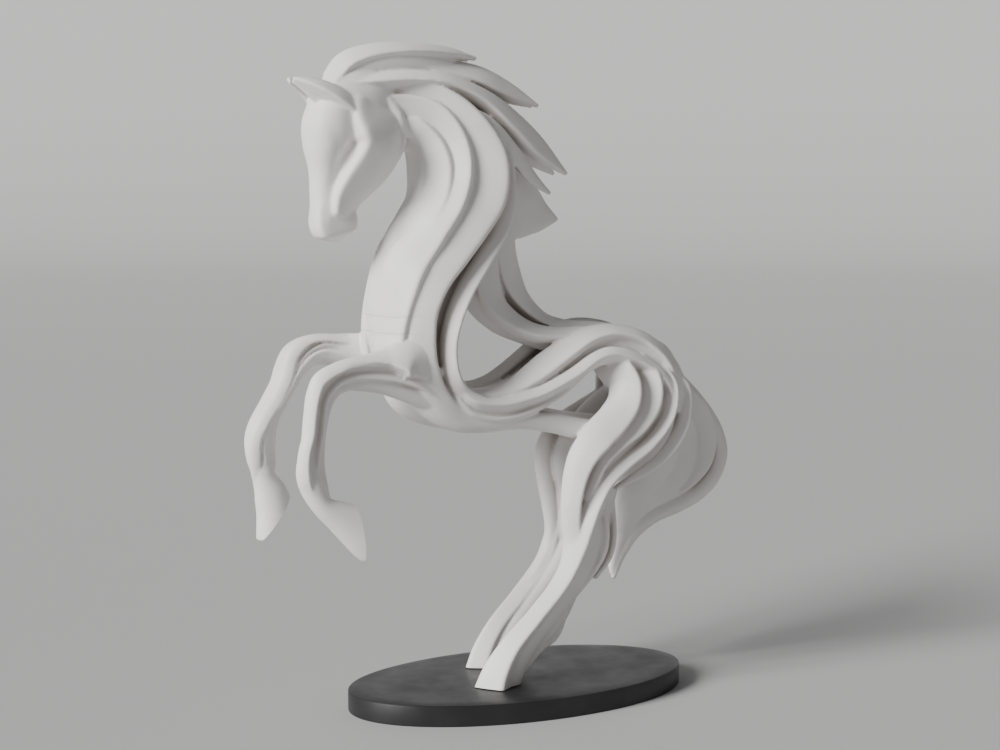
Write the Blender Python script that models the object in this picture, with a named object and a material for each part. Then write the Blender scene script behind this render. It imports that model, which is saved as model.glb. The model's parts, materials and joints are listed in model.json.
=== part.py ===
# Rearing horse figure made of flowing ribbons, standing with both hind hooves on a thin oval disc.
# Heading is -X, the horse's left side is -Y, up is +Z. Origin: middle of the disc's underside. Metres.

import bmesh
import bpy
import numpy as np
from mathutils import Vector

# driving dimensions
figureHeight = 0.192        # soles to the top of the mane
discLength = 0.112
discWidth = 0.064
discThickness = 0.0066
rimBevel = 0.0003           # height of the sloping rim around the disc's top
rimSlope = 0.0040           # how far that rim runs in from the edge
standGap = 0.0003           # clearance between soles and disc

# the figure is carved on a grid of equal steps, 192 of them from sole to mane
step = figureHeight / 192
soleHeight = discThickness + standGap

# how finely the figure is skinned, in steps and faces
skinCell = 0.60
skinFaces = 9000
smoothRounds = 3
pointsPerSpan = 7
ringPoints = 28
weldSize = 0.00001          # points closer than this to a cut count as on it
crispSquareness = 6         # exponent of the squared edge
crispLift = 0.35            # how much thicker that edge is than the middle
headSmoothRounds = 22
capShare = 0.7              # how far a ribbon's end cap stands out, as a share of its lesser half-size
roundSquareness = 2         # exponent of a round edge
massSegments = 24
massRings = 14
discSides = 72

# the right hind leg stands further back than the left, in steps
strideLength = 8.5
strideOut = 1.7
strideTop = 90
strideDrop = 38

# directions a ribbon's broad face can look in (left-hand side; the right-hand copy is mirrored)
side = (0.0, -1.0, 0.0)
forwardSide = (-0.35, -0.93, 0.0)
upSide = (-0.25, -0.80, 0.55)
rearSide = (0.30, -0.95, 0.0)
legFront = (-0.80, -0.55, 0.25)

# Each ribbon: name, which sides it is on, its crisp edge, the way its face looks, and its stations.
# The crisp edge is 1 or -1 for one side of the ribbon, 0 for none and 2 for both; a pair runs from start to end.
# A station is x, y, z, half the width and half the thickness, all in grid steps.
neckRibbons = [
    ("neckCore", "middle", 0, side, [
        (-46, 0, 172, 8, 3.5), (-38, 0, 173, 11, 4.8), (-28, 0, 168.5, 13, 6.2), (-21.5, 0, 160, 14, 7.2),
        (-21, 0, 149.5, 14.3, 7.8), (-25, 0, 139, 15, 8.4), (-30.5, 0, 128.5, 16, 9.2),
        (-35, 0, 118.5, 15, 10.2), (-36.5, 0, 108, 13, 11), (-35, 0, 97, 11, 12)]),
    ("throat", "middle", 0, (-0.85, 0, 0.50), [
        (-39, 0, 169, 3.6, 2.4), (-35.2, 0, 161.5, 4.2, 2.6), (-34, 0, 154, 4.8, 2.8),
        (-34.4, 0, 147.3, 5, 2.8), (-37.7, 0, 139.5, 5.2, 3), (-42, 0, 131.5, 5.2, 3),
        (-45.9, 0, 122.5, 5, 3), (-47.4, 0, 115, 4.8, 3), (-46.9, 0, 108, 4.6, 3),
        (-45, 0, 101, 4.2, 3)]),
    ("neckLobe1", "both", -1, (-0.75, -0.66, 0), [
        (-43, -3.5, 167.5, 2.5, 1.8), (-37, -4.6, 167.3, 3.5, 2.2), (-32.2, -5.2, 163, 4.6, 2.4),
        (-29.9, -5.8, 156, 5.4, 2.6), (-31.4, -6.1, 148, 5.7, 2.6), (-36, -6.4, 139.8, 5.7, 2.5),
        (-41, -5.6, 130.5, 5, 1.8), (-43.5, -7.8, 120.5, 4.2, 1.6), (-44.2, -9.2, 110, 4, 1.6),
        (-43.4, -9.3, 101, 4, 1.6)]),
    ("neckLobe2", "both", -1, [(-0.42, -0.9, 0), (-0.85, -0.53, 0)], [
        (-46.5, -3.5, 174.5, 2.5, 1.8), (-38.8, -5.2, 173.4, 3.9, 2.2), (-31.2, -7.3, 170.3, 4.3, 2.5),
        (-26, -9.2, 163.2, 4.1, 2.6), (-25.1, -10, 154.6, 4.4, 2.6), (-28.3, -10.3, 145.4, 4.8, 2.6),
        (-34.2, -10.3, 137, 5, 2.7), (-40.9, -8.6, 128.8, 6.9, 2.8), (-44.5, -8, 119, 6.9, 2.7),
        (-46.3, -7.8, 110, 6.3, 2.6), (-46.4, -7.2, 102, 5.6, 2.4), (-43.5, -6.5, 94, 5, 2)]),
    ("neckLobe3", "both", [-1, 2], (-0.30, -0.95, 0), [
        (-43, -3.5, 179.6, 2.5, 2), (-33.8, -5.8, 176.6, 4.4, 2.5), (-26.6, -8, 171.4, 6, 2.8),
        (-21, -9.8, 164.4, 7, 3), (-18.2, -10.9, 157, 7.8, 3), (-18.9, -11.4, 148.4, 7.8, 3),
        (-24, -11.8, 140.6, 7.6, 3), (-30.3, -12, 132, 7, 3), (-35.6, -12.4, 123.4, 5.6, 3),
        (-38.5, -12.6, 114.5, 4.4, 3), (-39.2, -12.7, 106, 4.2, 3), (-38, -12.4, 98, 4, 2.8),
        (-34.5, -11.7, 90.5, 3.5, 2.6), (-28.5, -11.2, 84.5, 2.8, 2.4), (-19, -11, 81.5, 1.8, 2)]),
    ("neckLobe4", "both", -1, (-0.35, -0.94, 0), [
        (-15, -6, 170, 2.5, 2), (-10.5, -7.5, 160, 3.2, 2.4), (-9.5, -8.7, 149, 3.4, 2.6),
        (-12.5, -10, 138, 3.2, 2.8), (-18.9, -11.4, 128.5, 2.9, 2.8), (-24.8, -12.3, 120, 2.8, 2.9),
        (-28.9, -13, 111.5, 2.7, 2.9), (-30.7, -13.3, 103.5, 2.6, 2.9), (-29.5, -13, 95.5, 2.6, 2.7),
        (-25.5, -12, 89.5, 2.8, 2.4), (-18, -12, 86.2, 2.2, 2.2), (-8, -12, 85.5, 1.6, 1.8)]),
]

maneRibbons = [
    ("forelock", "middle", 0, side, [
        (-60, 0, 179, 5, 4), (-54, 0, 184, 5, 5), (-46, 0, 186, 5, 5.6), (-36.5, 0, 186.3, 5, 5.4),
        (-26, 0, 184, 5, 4.5), (-16, 0, 178, 5, 4), (-9, 0, 168, 5, 4), (-8, 0, 156, 6, 4)]),
    ("mane1", "both", 1, upSide, [
        (-62, -1, 181, 3, 2), (-57, -2, 186.5, 3.4, 2), (-47.5, -3, 189.6, 3, 1.8),
        (-36.5, -3.5, 190.4, 2.4, 1.6), (-25.5, -3, 190, 1.9, 1.3), (-16, -2.5, 188.5, 0.6, 0.6)]),
    ("mane2", "both", 1, upSide, [
        (-40, -1, 187, 3, 2), (-27.5, -2, 185.5, 3.5, 2), (-15, -2.5, 183.3, 3.8, 1.8),
        (-4.5, -2, 179.3, 3.2, 1.5), (5.5, -2, 175, 0.6, 0.6)]),
    ("mane3", "both", 1, upSide, [
        (-58, -2.5, 180.5, 2.5, 2), (-48.5, -4.8, 181.5, 2.8, 2), (-38, -6.3, 182, 2.6, 2),
        (-27, -7, 181, 2.6, 2), (-15, -7, 176.5, 3, 2), (-5, -6.5, 169.5, 3.8, 2),
        (4.5, -5, 162, 3.8, 1.7), (14.5, -4, 154.5, 0.6, 0.6)]),
    ("mane4", "both", 1, forwardSide, [
        (-26, -6.5, 172.5, 1.4, 1.4), (-19.5, -8.8, 171.5, 1.9, 1.6), (-13, -9.6, 167, 2.2, 1.6),
        (-5.5, -8.5, 159.5, 2.2, 1.6), (1, -7, 153, 1.8, 1.4), (7.5, -6, 148.5, 0.6, 0.6)]),
    ("maneFin", "middle", 0, side, [
        (-14, 0, 156, 10, 4), (-6.5, 0, 149.5, 12, 3), (-0.5, 0, 144.5, 11, 2), (6, 0, 142, 6.5, 1.4),
        (10.5, 0, 141, 3, 1), (13.5, 0, 140.5, 0.6, 0.6)]),
]

backRibbons = [
    ("backTop", "middle", 1, upSide, [
        (-5.5, 1, 139, 4, 3), (-4.5, 1, 130, 4, 3), (-2, 1, 121.5, 4, 3), (2, 1, 115, 3.5, 3),
        (8.5, 0.5, 109.4, 3, 3), (16.5, 0, 106.8, 3, 3), (25.5, 0, 105.8, 3, 4), (33, 0, 104.6, 3, 5)]),
    ("backMid", "both", 1, upSide, [
        (-11.5, -1.5, 133, 3.5, 2), (-12.5, -2.5, 125.5, 4, 2), (-11.5, -3.5, 117.5, 4, 2),
        (-7, -4.5, 111.8, 3.6, 2), (0.5, -5.5, 107.3, 3, 2), (10, -6, 105.5, 2.5, 2),
        (19.5, -6, 106, 2, 2)]),
    ("backLow", "middle", 0, side, [
        (-14.5, 0, 128, 7, 3), (-12.5, 0, 118.5, 7, 3), (-7, 0, 111, 5, 3.2), (1.5, 0, 106, 3.5, 4.5),
        (11, 0, 103, 3.5, 7)]),
]

barrelRibbons = [
    ("barrelCore", "middle", 0, side, [
        (-35, 0, 97, 9, 12), (-31, 0, 90, 8, 12), (-22, 0, 85.2, 5.4, 12), (-10, 0, 84.8, 4.8, 11.5),
        (1, 0, 88, 4.8, 11), (11, 0, 93.8, 5, 10.5), (21, 0, 98.4, 5.6, 10.8), (31, 0, 99.5, 6, 11.5),
        (40, 0, 96.5, 7.5, 12), (45, 0, 88, 9, 12), (46, 0, 78, 8, 11)]),
    ("ribbonA", "left", 1, (-0.1, -0.70, 0.70), [
        (-26.5, -9, 91.5, 1.6, 1.8), (-21.2, -10, 89.1, 1.9, 2), (-13.4, -10, 88.6, 2.4, 2.2),
        (-7.2, -10, 90.1, 3.2, 2.2), (-1.4, -10, 93.2, 4, 2.3), (4.5, -10, 96.9, 4.4, 2.4),
        (10.4, -10, 100.5, 4.3, 2.4), (16.6, -9.8, 103.8, 4, 2.4), (22.8, -9.5, 105.4, 3.6, 2.4),
        (29.3, -9.3, 105.6, 3.4, 2.4), (37, -9.5, 103.9, 3.4, 2.4), (43.5, -10, 100, 3.4, 2.4),
        (48.8, -10.5, 94.3, 3.4, 2.4), (51.6, -10.8, 87.4, 3, 2.4), (52, -10.8, 80.4, 2.6, 2.2)]),
    ("farRibbonA", "right", 2, (-0.1, 0.70, 0.70), [
        (-24, 9, 90, 1.6, 1.8), (-13.4, 9.6, 88.4, 2.2, 2), (-7.2, 9.8, 89.4, 2.4, 2),
        (-1.4, 10, 92, 2.6, 2.1), (4.5, 10, 95.8, 2.8, 2.2), (10.4, 10, 99.8, 3.2, 2.3),
        (16.6, 9.8, 103.4, 3.6, 2.4), (22.8, 9.5, 105.4, 3.6, 2.4), (29.3, 9.3, 105.6, 3.4, 2.4),
        (37, 9.5, 103.9, 3.4, 2.4), (43.5, 10, 100, 3.4, 2.4), (48.8, 10.5, 94.3, 3.4, 2.4),
        (51.6, 10.8, 87.4, 3, 2.4), (52, 10.8, 80.4, 2.6, 2.2)]),
    ("ribbonB", "both", 2, (-0.1, -0.75, 0.65), [
        (-28, -11.2, 93.5, 1.3, 1.8), (-25.7, -12.6, 89.8, 1.5, 2), (-22, -13.3, 87, 1.6, 2.2),
        (-17.4, -13.4, 85.9, 1.6, 2.2), (-11.7, -13.4, 85.7, 1.7, 2.2), (-5.6, -13.4, 86.7, 1.7, 2.2),
        (0.4, -13.4, 88.3, 1.8, 2.2), (6.3, -13.4, 90.8, 1.9, 2.2), (12.5, -13.4, 93.9, 2, 2.2),
        (18.6, -13.3, 97.5, 1.9, 2.2), (24.8, -13.2, 99.3, 1.8, 2.2), (31.8, -13.3, 98, 1.8, 2.2),
        (38.4, -13.5, 95.1, 1.7, 2), (43.2, -14.1, 91.3, 1.5, 2),
        (46.4, -14.3, 86.6, 1.2, 1.8), (47, -14.2, 80.5, 0.7, 1.4)]),
    ("ribbonC", "both", 0, (-0.1, -0.90, 0.40), [
        (-29.5, -11, 92, 1.2, 1.4), (-27, -12.4, 87.8, 1.1, 1.5), (-23.9, -12.7, 84.5, 1.1, 1.5),
        (-20.6, -12.7, 82.6, 1.1, 1.5), (-14.9, -12.7, 81.3, 1.1, 1.5), (-8.8, -12.7, 81.4, 1, 1.5),
        (-2.6, -12.7, 83, 1, 1.5), (4, -12.6, 85.6, 0.9, 1.5), (8.1, -12.5, 87.8, 0.9, 1.4),
        (12.1, -12.3, 90.4, 0.9, 1.4), (16.5, -12, 93.8, 0.8, 1.3), (22, -11.5, 96.5, 0.7, 1.2)]),
    ("flankSheet", "both", 0, (-0.1, -0.98, -0.1), [
        (-24, -11.4, 85.5, 1.6, 1.3), (-17.4, -11.6, 83.6, 2.2, 1.3), (-11.7, -11.6, 83.3, 2.4, 1.3),
        (-5.6, -11.6, 84.3, 2.4, 1.3), (0.3, -11.6, 86.2, 2.4, 1.3), (6.3, -11.6, 89.3, 1.8, 1.3),
        (12.4, -11.5, 92.7, 1.6, 1.3), (18.5, -11.4, 96.2, 1.6, 1.3), (25, -11.3, 97.6, 1.8, 1.3),
        (32, -11.3, 96.5, 2, 1.3)]),
    ("bandSheet", "both", 0, (-0.1, -0.97, 0.2), [
        (-14, -10.6, 87, 1.8, 1.4), (-8, -10.8, 88.3, 2.2, 1.4), (-2, -11, 90.6, 2.6, 1.4),
        (4.3, -11, 93.3, 3, 1.4), (10.3, -11, 96.4, 3.1, 1.4), (16.5, -11, 100, 2.8, 1.4),
        (22.7, -10.8, 102.1, 2.6, 1.4), (29.2, -10.8, 102.2, 2.6, 1.4), (36.5, -11, 100, 2.6, 1.4),
        (42.5, -11.4, 96.5, 2.4, 1.4), (46.5, -11.8, 91, 2, 1.4)]),
    ("croup", "middle", 0, (0.45, 0, 0.9), [
        (14, 0, 103.6, 5, 2), (22, 0, 105, 7, 2.2), (31, 0, 105, 8, 2.4), (40, 0, 102.4, 8, 2.4),
        (47.5, 0, 96.8, 7, 2.4), (52, 0, 90, 6, 2.4), (55.5, 0, 84, 5, 2.2)]),
    ("belly", "both", 0, forwardSide, [
        (-43, -6, 94, 1.5, 1.5), (-39.5, -7.5, 89.5, 2.6, 2.4), (-34, -9.5, 85, 3.5, 3),
        (-26.5, -10, 81.5, 3.5, 3), (-16.5, -10, 80.5, 3.4, 3), (-5, -10, 80.5, 3, 3),
        (6, -10, 79, 3.2, 3), (15.5, -10.5, 76.6, 3.4, 3), (24, -11, 75, 3.4, 3)]),
    ("bellyKeel", "middle", 0, side, [
        (-42, 0, 94, 5, 7), (-36, 0, 87.5, 6, 9), (-24, 0, 82.5, 5, 10), (-10, 0, 82, 4, 10),
        (4, 0, 80, 3.5, 9), (16, 0, 77.6, 3.4, 9), (27, 0, 75.5, 4, 9)]),
]

haunchRibbons = [
    ("thighCore", "stride", 0, forwardSide, [
        (46, -6, 91, 9, 6), (41, -8, 83, 8, 6), (29, -9, 74, 8.6, 6), (20.5, -10, 65, 8.4, 5),
        (18, -10.5, 55, 5.6, 3.6), (16.5, -10.5, 46, 3.6, 3), (14.5, -10.8, 38, 2, 2)]),
    ("haunch1", "left", -1, forwardSide, [
        (26.6, -7.6, 97, 5, 2.4), (28.2, -10.6, 94, 5.4, 2.8), (30.2, -12.7, 90, 5, 3.2),
        (28.9, -14.4, 84.6, 5, 3.1), (24.8, -15.1, 79.7, 5, 3), (19.3, -15.2, 74.8, 5, 3),
        (14.8, -14.8, 69.5, 4.4, 3), (12.2, -14.2, 63.5, 3.8, 3), (11, -13.6, 56, 3.2, 2.8),
        (11, -13, 49, 2.9, 2.5), (11.6, -12.6, 42, 2.6, 2.3), (9.8, -12.2, 34, 2.2, 2.1),
        (4, -12, 26, 1.8, 1.8), (-3, -12, 18.5, 1.2, 1.4)]),
    ("farHaunch1", "right", 0, (-0.35, 0.93, 0), [
        (41, 6.5, 96, 2.4, 2), (41.4, 10, 92, 2.6, 2.6), (40.6, 12.6, 87, 3, 3),
        (37.6, 14.4, 82.5, 3.4, 3), (31.4, 15.8, 78, 4.2, 3), (24.6, 16, 73.6, 4.8, 3),
        (19.6, 15.7, 68.8, 4.4, 3), (18.1, 15.4, 63.5, 3.8, 3), (18.6, 15.1, 56, 3.2, 2.8),
        (19.5, 14.7, 49, 2.9, 2.5), (20.1, 14.3, 42, 2.6, 2.3), (18.3, 13.9, 34, 2.2, 2.1),
        (12.5, 13.7, 26, 1.8, 1.8), (5.5, 13.7, 18.5, 1.2, 1.4)]),
    ("haunch2", "stride", -1, forwardSide, [
        (35, -8.6, 98.5, 2.6, 2), (37, -11, 95, 3.5, 2.2), (38.7, -13.2, 90, 4.2, 2.4),
        (37.8, -14.2, 83.8, 4.2, 2.5), (33.4, -14.9, 77.8, 3.6, 2.5), (26.5, -15, 72.3, 2.8, 2.5),
        (21, -14.7, 67, 2.3, 2.4), (18, -14.2, 61, 2, 2.2), (15.5, -13.5, 55, 1.4, 1.6)]),
    ("haunch3", "stride", [-1, 2], [forwardSide, legFront], [
        (42, -8, 97, 2, 2), (44.6, -10.8, 93, 2.5, 2.2), (46.6, -13, 87.5, 2.9, 2.4),
        (44.9, -14.4, 79, 2.4, 2.5), (38, -15, 71.3, 2.2, 2.5), (30, -15, 66, 2.3, 2.6),
        (23, -14.8, 60.6, 2.7, 2.6), (18.6, -14.6, 54.2, 3.2, 2.8), (15.5, -14.2, 47, 3.6, 3),
        (13, -13.5, 39.5, 3.6, 3), (8.6, -13, 30, 3, 3), (-0.3, -12.6, 20, 2.9, 3),
        (-8.2, -12.4, 12, 3.3, 3), (-13.2, -12.3, 4.5, 4.3, 3.4), (-15.5, -12.3, -2.5, 5.4, 4)]),
    ("haunch4", "stride", -1, forwardSide, [
        (48, -7, 95, 2, 2), (50.8, -9.2, 91, 2.3, 2.2), (53.2, -11, 85.5, 2.5, 2.2),
        (51.2, -12.5, 75.2, 2.3, 2.2), (45, -13, 67.2, 1.8, 1.9), (36.5, -12.6, 61.8, 1.4, 1.5),
        (28.5, -11.2, 57.6, 0.7, 0.8)]),
]

legRibbons = [
    ("hindLegBack", "stride", 0, side, [
        (24, -10.5, 58, 5.4, 3.4), (20.5, -11, 46, 4.6, 3.2), (17.3, -11, 37, 4.4, 3.4), (11.5, -11, 28, 4, 3.6),
        (3.5, -11, 19, 3.6, 3.4), (-4, -11, 10.5, 3.8, 3.4), (-9, -11, 3, 4.4, 3.8),
        (-11, -11, -2.5, 5, 4.2)]),
    ("hock1", "stride", 0, rearSide, [
        (21.5, -14, 54.5, 1, 1.4), (23, -14.2, 45.5, 1, 1.5), (22.3, -13.8, 38, 1, 1.5),
        (18.3, -13.2, 31.5, 0.9, 1.4), (12.5, -12.4, 24.5, 0.7, 1)]),
    ("hock2", "stride", 0, rearSide, [
        (26.2, -12, 53.5, 0.9, 1.5), (26.6, -12.4, 43, 1, 1.6), (25, -12.2, 36, 1, 1.6),
        (20.4, -11.8, 30, 0.9, 1.3)]),
    ("fetlock", "stride", 0, side, [
        (13, -10.5, 25, 2, 1.6), (9, -10.2, 18.5, 2.6, 1.2), (5.2, -10, 13.8, 3, 1.1),
        (0.3, -10, 9.4, 2.6, 1.1), (-4, -10, 3.5, 2.2, 1.2)]),
    ("spur", "stride", 0, side, [
        (13.5, -10.6, 27, 0.8, 1.2), (10.9, -10.2, 20.9, 1, 1.6), (9, -10, 15.2, 1.1, 1.8),
        (6.6, -10, 12, 1.2, 1.8), (3.1, -10, 10, 1.1, 1.7), (-0.6, -10, 6.9, 1.1, 1.7),
        (-3.9, -10, 2.6, 0.9, 1.4)]),
    ("foreCore", "left", 0, side, [
        (-31, -7, 92, 7, 4), (-43, -9.5, 95.5, 6.5, 3.2), (-55, -11, 96, 4.8, 2.4),
        (-64.5, -11.2, 96, 4, 2.1), (-70.5, -11.2, 92.5, 3.6, 2.1), (-72.6, -11.2, 85, 3, 2.1),
        (-73.4, -11.2, 77, 3, 2.1), (-74.2, -11.5, 69.5, 3.9, 2.4), (-73.5, -12, 64, 3.4, 2.8)]),
    ("shoulder", "left", [2, -1], [(-0.40, -0.90, 0.15), (-0.25, -0.72, 0.64)], [
        (-33, -11.2, 95.3, 1.6, 2), (-36, -12.5, 96.6, 2.6, 2.4), (-39.4, -13.4, 98.8, 4.3, 2.6),
        (-43, -13.8, 101, 6.3, 2.6), (-46.5, -13.2, 101.3, 4.9, 2.5), (-50.5, -12.5, 100.9, 3.2, 2.3),
        (-58, -12.8, 100.3, 1.9, 1.9), (-64, -13.2, 99.5, 1.6, 1.6)]),
    ("foreTop", "left", -1, forwardSide, [
        (-50.5, -12.6, 100.7, 2.1, 2), (-60, -13.2, 100.4, 1.6, 2), (-66.3, -13.4, 98.8, 1.8, 2),
        (-71.5, -13.4, 95.8, 2.1, 2), (-73.5, -13.4, 91, 2, 2), (-74.3, -13.4, 85.5, 1.8, 2),
        (-74.9, -13.4, 80.3, 1.8, 2), (-76.2, -13.4, 75.5, 1.8, 2), (-76.7, -13.4, 70.8, 1.9, 2),
        (-76.2, -13, 66.5, 2, 2), (-74.5, -12.5, 62.5, 1.6, 1.8)]),
    ("foreMid", "left", -1, forwardSide, [
        (-16, -10, 79, 1.4, 1.5), (-24, -11.3, 83.3, 1.4, 1.6), (-31, -12.2, 88.1, 1.4, 1.6),
        (-38, -12.9, 92.3, 1.3, 1.6), (-45, -13, 94.7, 1.2, 1.5), (-52.5, -13, 96, 1.1, 1.5),
        (-59.8, -13, 96.4, 1, 1.4), (-64, -13, 95.6, 1, 1.4), (-67.2, -13, 93.5, 1, 1.4),
        (-69, -13, 91.2, 0.9, 1.3), (-70.1, -13, 88, 0.9, 1.3), (-70.9, -13, 81.5, 0.9, 1.2),
        (-72, -13, 75.2, 0.9, 1.2), (-72.7, -12.8, 69.5, 0.9, 1.2), (-72.3, -12.2, 63.5, 0.9, 1),
        (-70, -11.8, 59.5, 0.7, 0.8)]),
    ("foreLow", "left", 0, forwardSide, [
        (-17, -8.5, 83, 2.4, 2.2), (-26.5, -9.5, 84.2, 2.9, 2.5), (-37.5, -10.5, 88.2, 2.8, 2.5),
        (-48.5, -11, 92.1, 2.4, 2.2), (-58.5, -11.2, 93.9, 1.9, 2), (-63.5, -11.3, 93.2, 1.7, 1.8),
        (-67, -11.5, 90.8, 1.6, 1.7), (-69, -11.5, 86, 1.4, 1.6), (-70.4, -11.5, 79, 1.4, 1.6),
        (-70.9, -11.5, 72, 1.5, 1.6), (-70.2, -11.8, 66, 1.5, 1.5), (-69, -11.8, 61.5, 1.2, 1.2)]),
    ("farForeCore", "right", 0, side, [
        (-34.5, 7, 98, 6, 4), (-46, 9.5, 101.2, 5.4, 3.4), (-56, 12, 102, 4.8, 3.4),
        (-62.5, 13, 102.2, 4.6, 3.7), (-68.2, 13, 100.6, 4.3, 3.6), (-71.4, 13, 96.5, 3.5, 3.3),
        (-73.4, 13, 92.3, 2.9, 2.8), (-76.5, 13, 86.8, 2.9, 2.8), (-79.4, 13, 80.3, 3.8, 2.8),
        (-80.3, 13, 76, 4.1, 2.8), (-79.9, 13, 71, 3.9, 2.8), (-79.2, 13, 67.3, 3.3, 2.8)]),
    ("farForeTop", "right", -1, side, [
        (-46, 10.4, 104.6, 1.5, 2), (-53, 10.4, 105.1, 1.3, 2), (-60, 10.4, 106, 1.1, 2),
        (-64.6, 10.4, 105.6, 1.3, 2), (-68.3, 10.4, 103.8, 1.7, 2), (-71, 10.4, 100.3, 1.8, 2),
        (-72.6, 10.4, 94.5, 1.8, 2), (-75.7, 10.4, 88.5, 1.8, 2), (-79.5, 10.4, 82.8, 1.8, 2),
        (-82.3, 10.6, 76.8, 1.7, 1.8), (-82.2, 11.2, 71, 1.6, 1.6), (-81.4, 12.2, 65, 1.2, 1.2)]),
    ("farForeRidge", "right", 0, side, [
        (-47, 10.2, 100, 0.8, 1.6), (-52, 10, 101.6, 0.7, 1.7), (-57.7, 10, 103.5, 0.6, 1.7),
        (-61.7, 10, 103.7, 0.6, 1.7), (-65.5, 10, 101.8, 0.6, 1.7), (-68.6, 10, 98.6, 0.7, 1.7),
        (-70.5, 10.2, 95, 0.6, 1.4)]),
    ("farForeSide", "right", 1, side, [
        (-45, 10.3, 96.5, 1.4, 1.8), (-51, 10.2, 98, 1.5, 1.8), (-57, 10.2, 99.8, 1.9, 1.8),
        (-61, 10.2, 100.5, 2, 1.8), (-64.6, 10.2, 99, 1.8, 1.8), (-67.9, 10.2, 95.7, 1.5, 1.8),
        (-70.7, 10.2, 91, 1.1, 1.8), (-73.9, 10.2, 85.8, 1.2, 1.8), (-76.9, 10.8, 80.4, 2, 1.8),
        (-77.9, 11.2, 75, 2.4, 1.8), (-77.3, 11.8, 69, 2.1, 1.6), (-77, 12.6, 64, 1.4, 1.2)]),
]

hoofRibbons = [
    ("foreHoof", "left", 0, side, [
        (-74.6, -12, 72, 2.4, 1.8), (-74, -12.4, 66, 3.6, 2.8), (-70.6, -12.5, 59.6, 3.2, 3.1), (-64.4, -12.5, 55.3, 5, 4),
        (-57.6, -12.5, 51.3, 7.5, 4.8), (-54, -12.5, 49.3, 8.5, 5)]),
    ("farForeHoof", "right", 0, side, [
        (-80, 13.1, 75, 2.6, 2), (-79.2, 12.8, 69, 3.5, 2.9), (-78.4, 12.6, 64.5, 3.7, 3.2), (-76.6, 12.5, 60, 5.1, 4),
        (-75.4, 12.5, 54.5, 5.6, 4.6), (-74.9, 12.5, 47, 6.2, 5)]),
]

# each raised hoof is cut flat through its toe and its heel: x and z of both, and the side it is on
raisedSoles = [((-58, 42.5), (-61, 60), -1), ((-80.1, 46.8), (-70.6, 59.8), 1)]
soleReach = 13              # how far around the sole that cut works

headRibbons = [
    ("headCore", "middle", 0, side, [
        (-47, 0, 181, 9, 6), (-52, 0, 176, 13, 7), (-54, 0, 169.5, 14, 7), (-55, 0, 163, 13.5, 6.5),
        (-57, 0, 157, 11, 5.5), (-59, 0, 151, 8.6, 4.6), (-60.8, 0, 144, 6.8, 4.4),
        (-60.9, 0, 139, 6, 4.8)]),
    ("noseBridge", "middle", 0, side, [
        (-60, 0, 177, 5.5, 7), (-63, 0, 169, 6.8, 8.6), (-63.7, 0, 162, 6.2, 7.6),
        (-64, 0, 155, 4.4, 5.2), (-64.2, 0, 147, 3.9, 4.6), (-64, 0, 140, 4, 5)]),
    ("cheek", "both", 1, (0.20, -0.98, 0), [
        (-50, -2, 175, 6.5, 2), (-50, -4.4, 171.5, 8.9, 3.3), (-49.1, -5.8, 166.5, 9.1, 4.2),
        (-49, -6, 162, 8, 4.3), (-51.6, -5.2, 156.5, 7.1, 3.8), (-55.8, -4.2, 151, 6, 3.2),
        (-58.8, -3.4, 146.5, 5, 2.8), (-60.2, -3, 142, 3.8, 2.6)]),
    ("muzzle", "middle", 2, side, [
        (-61.6, 0, 146, 5.6, 4.4), (-61.2, 0, 140.5, 6.6, 4.8), (-60.4, 0, 136.9, 5.9, 4.6)]),
]

earRibbons = [
    ("ear", "both", -1, (-0.2, -0.75, 0.6), [
        (-49.5, -3.4, 167, 1.8, 1.2), (-55.2, -6, 171.6, 2.8, 1.8), (-60.6, -6.3, 175.6, 3, 1.9),
        (-65.8, -5.2, 178.4, 2.6, 1.8), (-70, -3.6, 180, 1.8, 1.4), (-73.8, -2, 181, 0.7, 0.7)]),
    ("earFlap", "both", 0, (-0.6, -0.7, 0.3), [
        (-58, -3, 170.9, 2.4, 1.4), (-65, -3, 174.6, 2, 1.2), (-69.8, -2.3, 177.8, 1.3, 1),
        (-73.8, -1.3, 180.3, 0.6, 0.6)]),
    ("jawRim", "both", 0, side, [
        (-46, -4.6, 176, 1.6, 1.8), (-42.9, -5.1, 171.3, 1.8, 2), (-42, -5.3, 165.5, 1.8, 2),
        (-43.4, -5.2, 160.2, 1.8, 2), (-47.4, -4.6, 155, 1.6, 1.8), (-52, -4, 149.8, 1.2, 1.6),
        (-56, -3.4, 145, 1, 1.4)]),
]

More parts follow.
